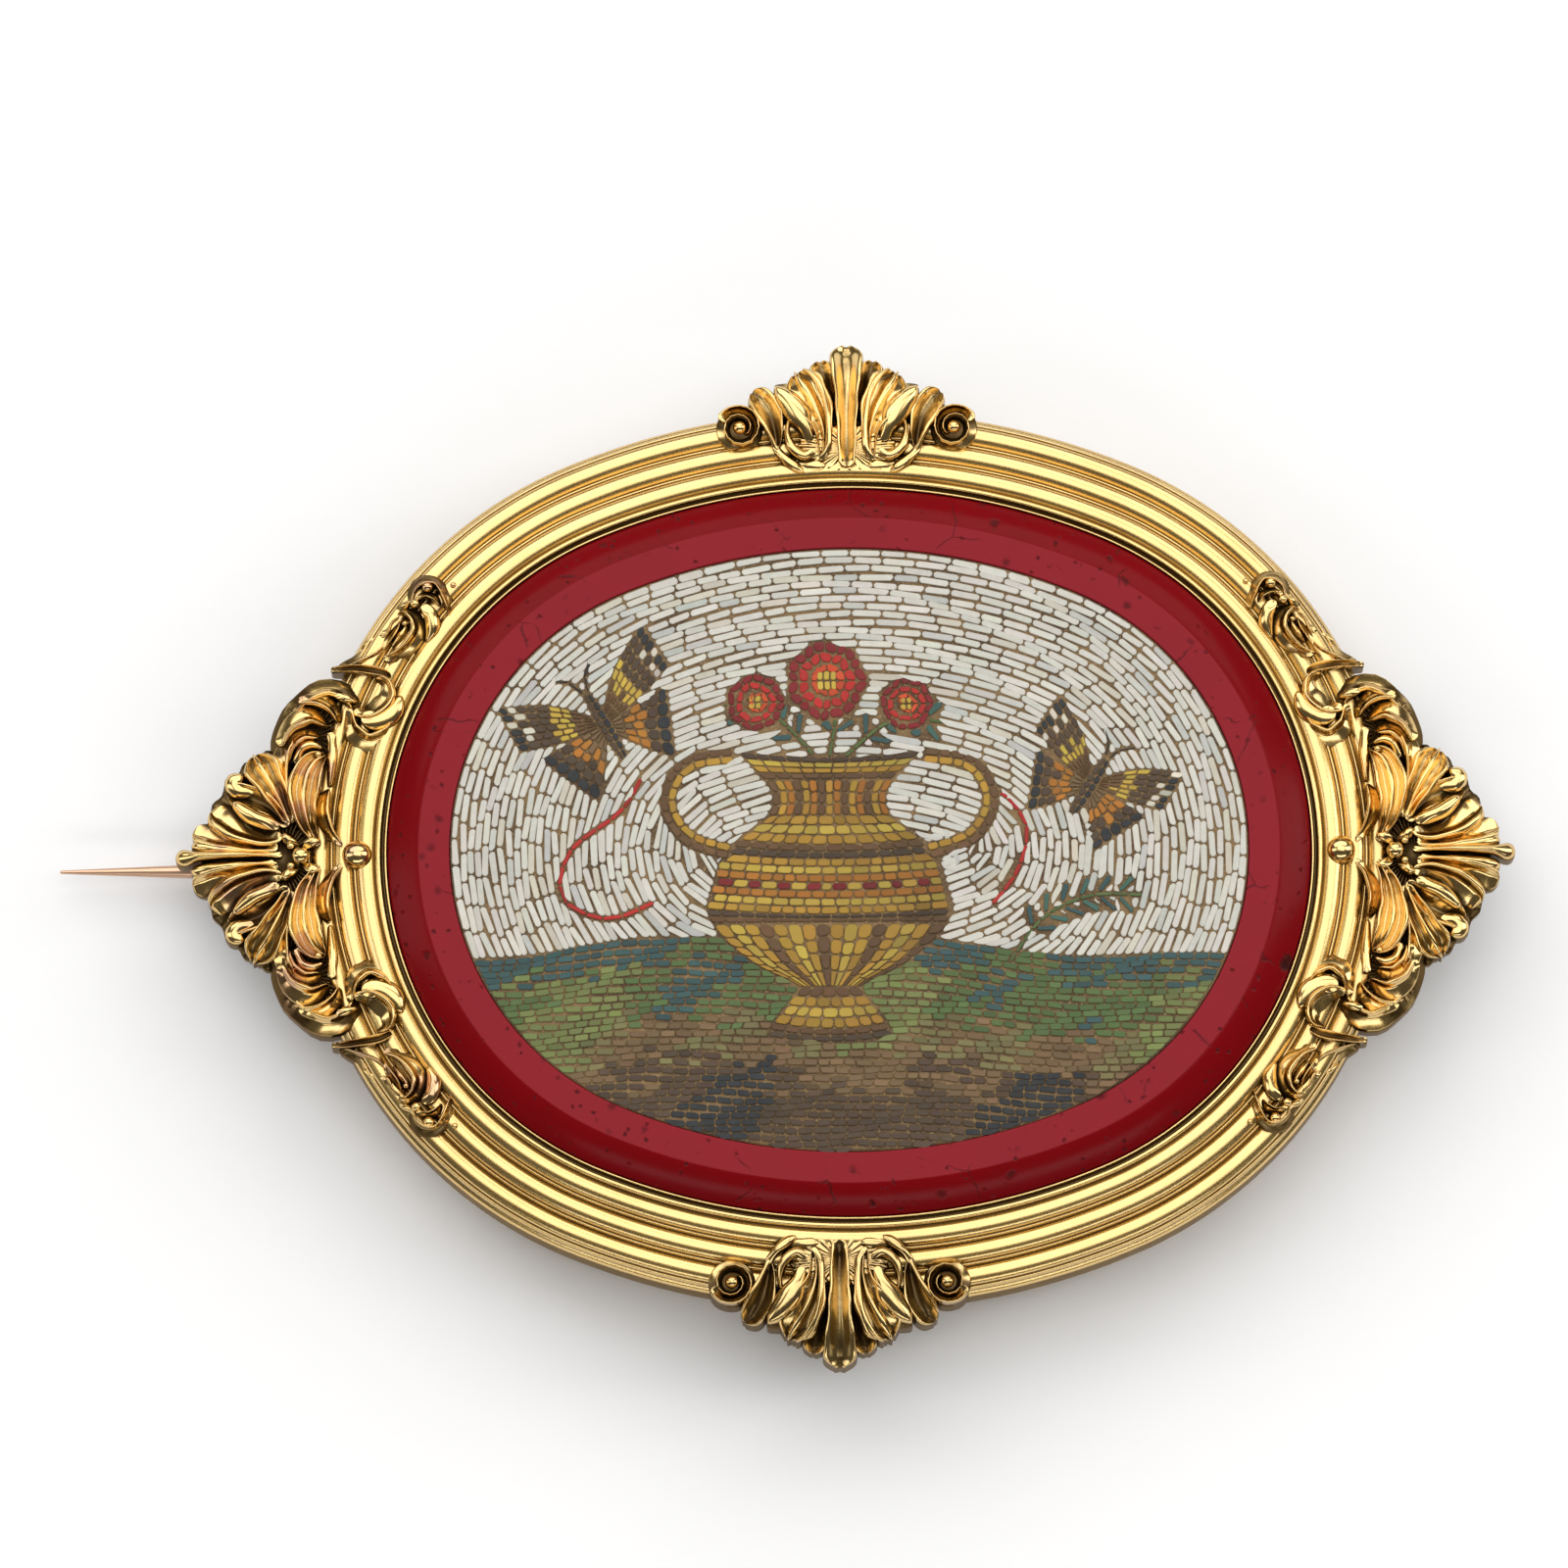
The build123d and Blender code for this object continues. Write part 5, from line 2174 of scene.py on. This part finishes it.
    def ground(self, soup: Soup, slab: Slab) -> None:
        """Add a low slab that fronds stand on, raised in rays.

        The rays' height is a cosine of the angle; it starts off the middle,
        and it is less where the slab comes near the leaves' level.

        Args:
            soup: Where the shell goes.
            slab: The slab.
        """
        below = self.leaf_level - slab.top
        far = np.array([0.0, 0.15, 0.3, 0.45, 0.6, 0.75, 0.88, 0.96, 1.0, 1.0, 0.0])
        z = np.where(far > 0.9, slab.top - 0.2, slab.top)
        z[-2:] = self.foot
        points, faces = round_grid(far, z, self.slab_steps)
        wave = np.cos(self.rays * np.arctan2(points[:, 1], points[:, 0]))
        out = np.hypot(points[:, 0], points[:, 1])
        raised = points[:, 2] > self.foot
        points[:, 2] += 0.13 * min(below, 1.0) * wave * ramp(out, 0.1, 0.4) * raised
        points[:, :2] *= (1 + 0.02 * wave)[:, None] * [slab.half_x, slab.half_y]
        points[:, :2] += [slab.x, slab.y]
        # The lower the slab lies under the leaves, the darker its gold: painted shade.
        soup.add(points, faces, hollow=np.full(len(points), np.clip(below * 0.6, 0, 1)))

    def find_recesses(self, soup: Soup) -> np.ndarray:
        """Find the recesses of the whole relief.

        The highest point in each cell of a fine grid is blurred; a vertex that
        lies below the blurred relief is in a recess.

        Args:
            soup: The mount's shells.

        Returns:
            Each vertex's recess, from 0 to 1.
        """
        cell, reach, margin, blur = 0.07, 7, 20, 0.26
        points = np.concatenate(soup.points)
        low = points[:, :2].min(axis=0) - 1
        i, j = ((points[:, :2] - low) / cell).astype(int).T
        top = np.zeros((i.max() + margin, j.max() + margin))
        np.maximum.at(top, (i, j), points[:, 2])
        kernel = np.exp(-((np.arange(-reach, reach + 1) * cell / blur) ** 2))
        layers = []
        for layer in (top, (top > 0).astype(float)):
            for axis in (0, 1):
                layer = np.apply_along_axis(np.convolve, axis, layer, kernel, "same")
            layers.append(layer)
        mean = layers[0] / np.maximum(layers[1], 1e-6)
        return ramp(mean[i, j] - points[:, 2], -0.10, 0.62)

    def shells(self) -> Soup:
        """Gather all the shells, on both sides of the mount's axis.

        Returns:
            The shells, with their recesses.
        """
        half, whole = Soup(), Soup()
        for frond in self.pattern.halves:
            self.frond(half, frond)
        for volute in self.pattern.volutes:
            self.volute(half, volute)
        for frond in self.pattern.middle:
            self.frond(whole, frond)
        for bead in self.pattern.beads:
            self.bead(whole if 0.0 in (bead.x, bead.y) else half, bead)
        for slab in self.pattern.slabs:
            self.ground(whole if 0.0 in (slab.x, slab.y) else half, slab)
        whole.join(half)
        whole.join(half.mirrored(*self.pattern.mirror))
        hollow = np.concatenate(whole.values["hollow"])
        # The recess darkens the gold: patina with painted shade, darker on some mounts than on others.
        whole.values = {"recess": [self.find_recesses(whole) + self.tarnish * hollow]}
        return whole

    def dress(self, piece: bpy.types.Object) -> None:
        """Give the mount its gold and hide the solid that it stands for."""
        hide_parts("gold_frame")
        # bright under 1 dims the whole mount's gold: painted shade.
        colour, deep = (tuple(self.bright * c for c in tone) for tone in (Gold.colour, Gold.deep))
        finish = Gold(f"{self.name}_gold", colour, deep, blush=self.rosy)
        piece.data.materials.append(finish.make())

    def build(self) -> bpy.types.Object:
        """Make the mount, stretched and shifted on its own side of the brooch.

        Returns:
            The finished piece.
        """
        soup = self.shells().mirrored(*self.turn)
        for points in soup.points:
            pull = np.abs(points[:, 0]) - SIDE_BEADS[0].x
            points[:, 0] += np.sign(points[:, 0]) * pull * (self.stretch - 1)
            points[:, :2] += self.shift
        piece = soup.piece(self.name)
        self.dress(piece)
        return piece


# The pieces that are shown as the solids are


@dataclass(frozen=True)
class Fittings:
    """The back plate, the hinge's rivet and the pin, with their finishes."""

    plain: Gold = Gold("back_gold", carved=False)
    pale: Gold = Gold("pin_gold", (0.72, 0.44, 0.28), (0.58, 0.33, 0.20), roughness=0.34, carved=False)

    def dress(self) -> None:
        """Give each solid its finish."""
        plain, pale = self.plain.make(), self.pale.make()
        for name, finish in (("back_plate", plain), ("hinge_rivet", plain), ("pin_stem", pale)):
            slots = bpy.data.objects[name].data.materials
            slots.clear()
            slots.append(finish)
            log.info("%s: %s", name, finish.name)


# Camera, lights and floor


class SoftBox(NamedTuple):
    """A soft light: its place and its two sides in metres, and its power in watts."""

    name: str
    place: tuple[float, float, float]
    size: tuple[float, float]
    power: float


SOFT_BOXES = (
    SoftBox("key_box", (-0.06, 0.56, 0.50), (1.50, 0.50), 5.0),
    SoftBox("overhead_box", (0.02, 0.14, 0.95), (1.05, 0.66), 4.2),
    SoftBox("right_box", (0.60, 0.10, 0.36), (0.26, 0.60), 1.4),
    SoftBox("left_box", (-0.60, -0.02, 0.34), (0.20, 0.60), 0.75),
    SoftBox("front_strip", (0.05, -0.56, 0.34), (0.80, 0.14), 0.9),
)


@dataclass
class Studio:
    """The pale floor, the soft lights and the camera of the photograph."""

    elevation: float = 82.0
    distance: float = 0.9
    view_width: float = 0.0728
    sensor: float = 36.0
    aim: tuple[float, float, float] = (-0.0001, 0.00337, 0.0055)
    roll: float = 0.3
    floor_half: float = 1.2
    floor_gap: float = 0.02 * MM
    air: tuple[float, float, float, float] = (1.0, 0.94, 0.86, 1)
    air_strength: float = 0.09

    def floor(self) -> None:
        """Lay the floor, a little way below the brooch's lowest point."""
        mesh = bpy.data.meshes.new("floor")
        size, z = self.floor_half, -self.floor_gap
        corners = [(-size, -size, z), (size, -size, z), (size, size, z), (-size, size, z)]
        mesh.from_pydata(corners, [], [(0, 1, 2, 3)])
        obj = bpy.data.objects.new("floor", mesh)
        bpy.context.scene.collection.objects.link(obj)
        shader = Shader("floor_paper")
        fibre = shader.noise(900, 3)
        paper = shader.mix(fibre, (0.95, 0.95, 0.95), (0.97, 0.97, 0.97))
        obj.data.materials.append(shader.finish(Base_Color=paper, Roughness=0.9))

    def light(self, box: SoftBox) -> None:
        """Hang a soft box that faces the brooch.

        Args:
            box: The light.
        """
        data = bpy.data.lights.new(box.name, "AREA")
        data.shape = "RECTANGLE"
        data.size, data.size_y = box.size
        data.energy = box.power
        obj = bpy.data.objects.new(box.name, data)
        obj.location = box.place
        obj.rotation_euler = (-Vector(box.place)).to_track_quat("-Z", "Y").to_euler()
        bpy.context.scene.collection.objects.link(obj)

    def camera(self) -> None:
        """Place the camera on the near side, steeply above the brooch."""
        data = bpy.data.cameras.new("camera")
        data.sensor_width = self.sensor
        data.sensor_fit = "HORIZONTAL"
        data.lens = self.sensor * self.distance / self.view_width
        data.clip_start = 0.01
        tilt = np.radians(self.elevation)
        obj = bpy.data.objects.new("camera", data)
        obj.location = Vector(self.aim) + Vector((0, -np.cos(tilt), np.sin(tilt))) * self.distance
        tip = Euler((np.pi / 2 - tilt, 0, 0)).to_matrix()
        roll = Euler((0, 0, -np.radians(self.roll))).to_matrix()
        obj.rotation_euler = (tip @ roll).to_euler()
        bpy.context.scene.collection.objects.link(obj)
        bpy.context.scene.camera = obj

    def build(self) -> None:
        """Set the whole stage."""
        world = bpy.data.worlds.new("studio")
        bpy.context.scene.world = world
        world.use_nodes = True
        background = world.node_tree.nodes["Background"]
        background.inputs["Color"].default_value = self.air
        background.inputs["Strength"].default_value = self.air_strength
        self.floor()
        for box in SOFT_BOXES:
            self.light(box)
        self.camera()
        bpy.context.scene.view_settings.view_transform = "Standard"


def main() -> None:
    """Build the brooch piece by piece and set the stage."""
    logging.basicConfig(level=logging.INFO, format="%(name)s: %(message)s")
    Border().build()
    Plaque().build()
    Mosaic().build()
    Mount("right_mount", SIDE, rosy=0.15, tarnish=0.58).build()
    Mount("left_mount", SIDE, turn=(-1, 1), rosy=0.7, tarnish=0.80, stretch=1.04).build()
    Mount("upper_mount", TOP, tarnish=0.62).build()
    # The lower mount is dimmed, with darker recesses: painted shade, as its faces turn away from the light.
    Mount("lower_mount", TOP, turn=(1, -1), tarnish=0.90, bright=0.8, shift=(-0.55, -0.07)).build()
    Fittings().dress()
    Studio().build()


if __name__ == "__main__":
    main()
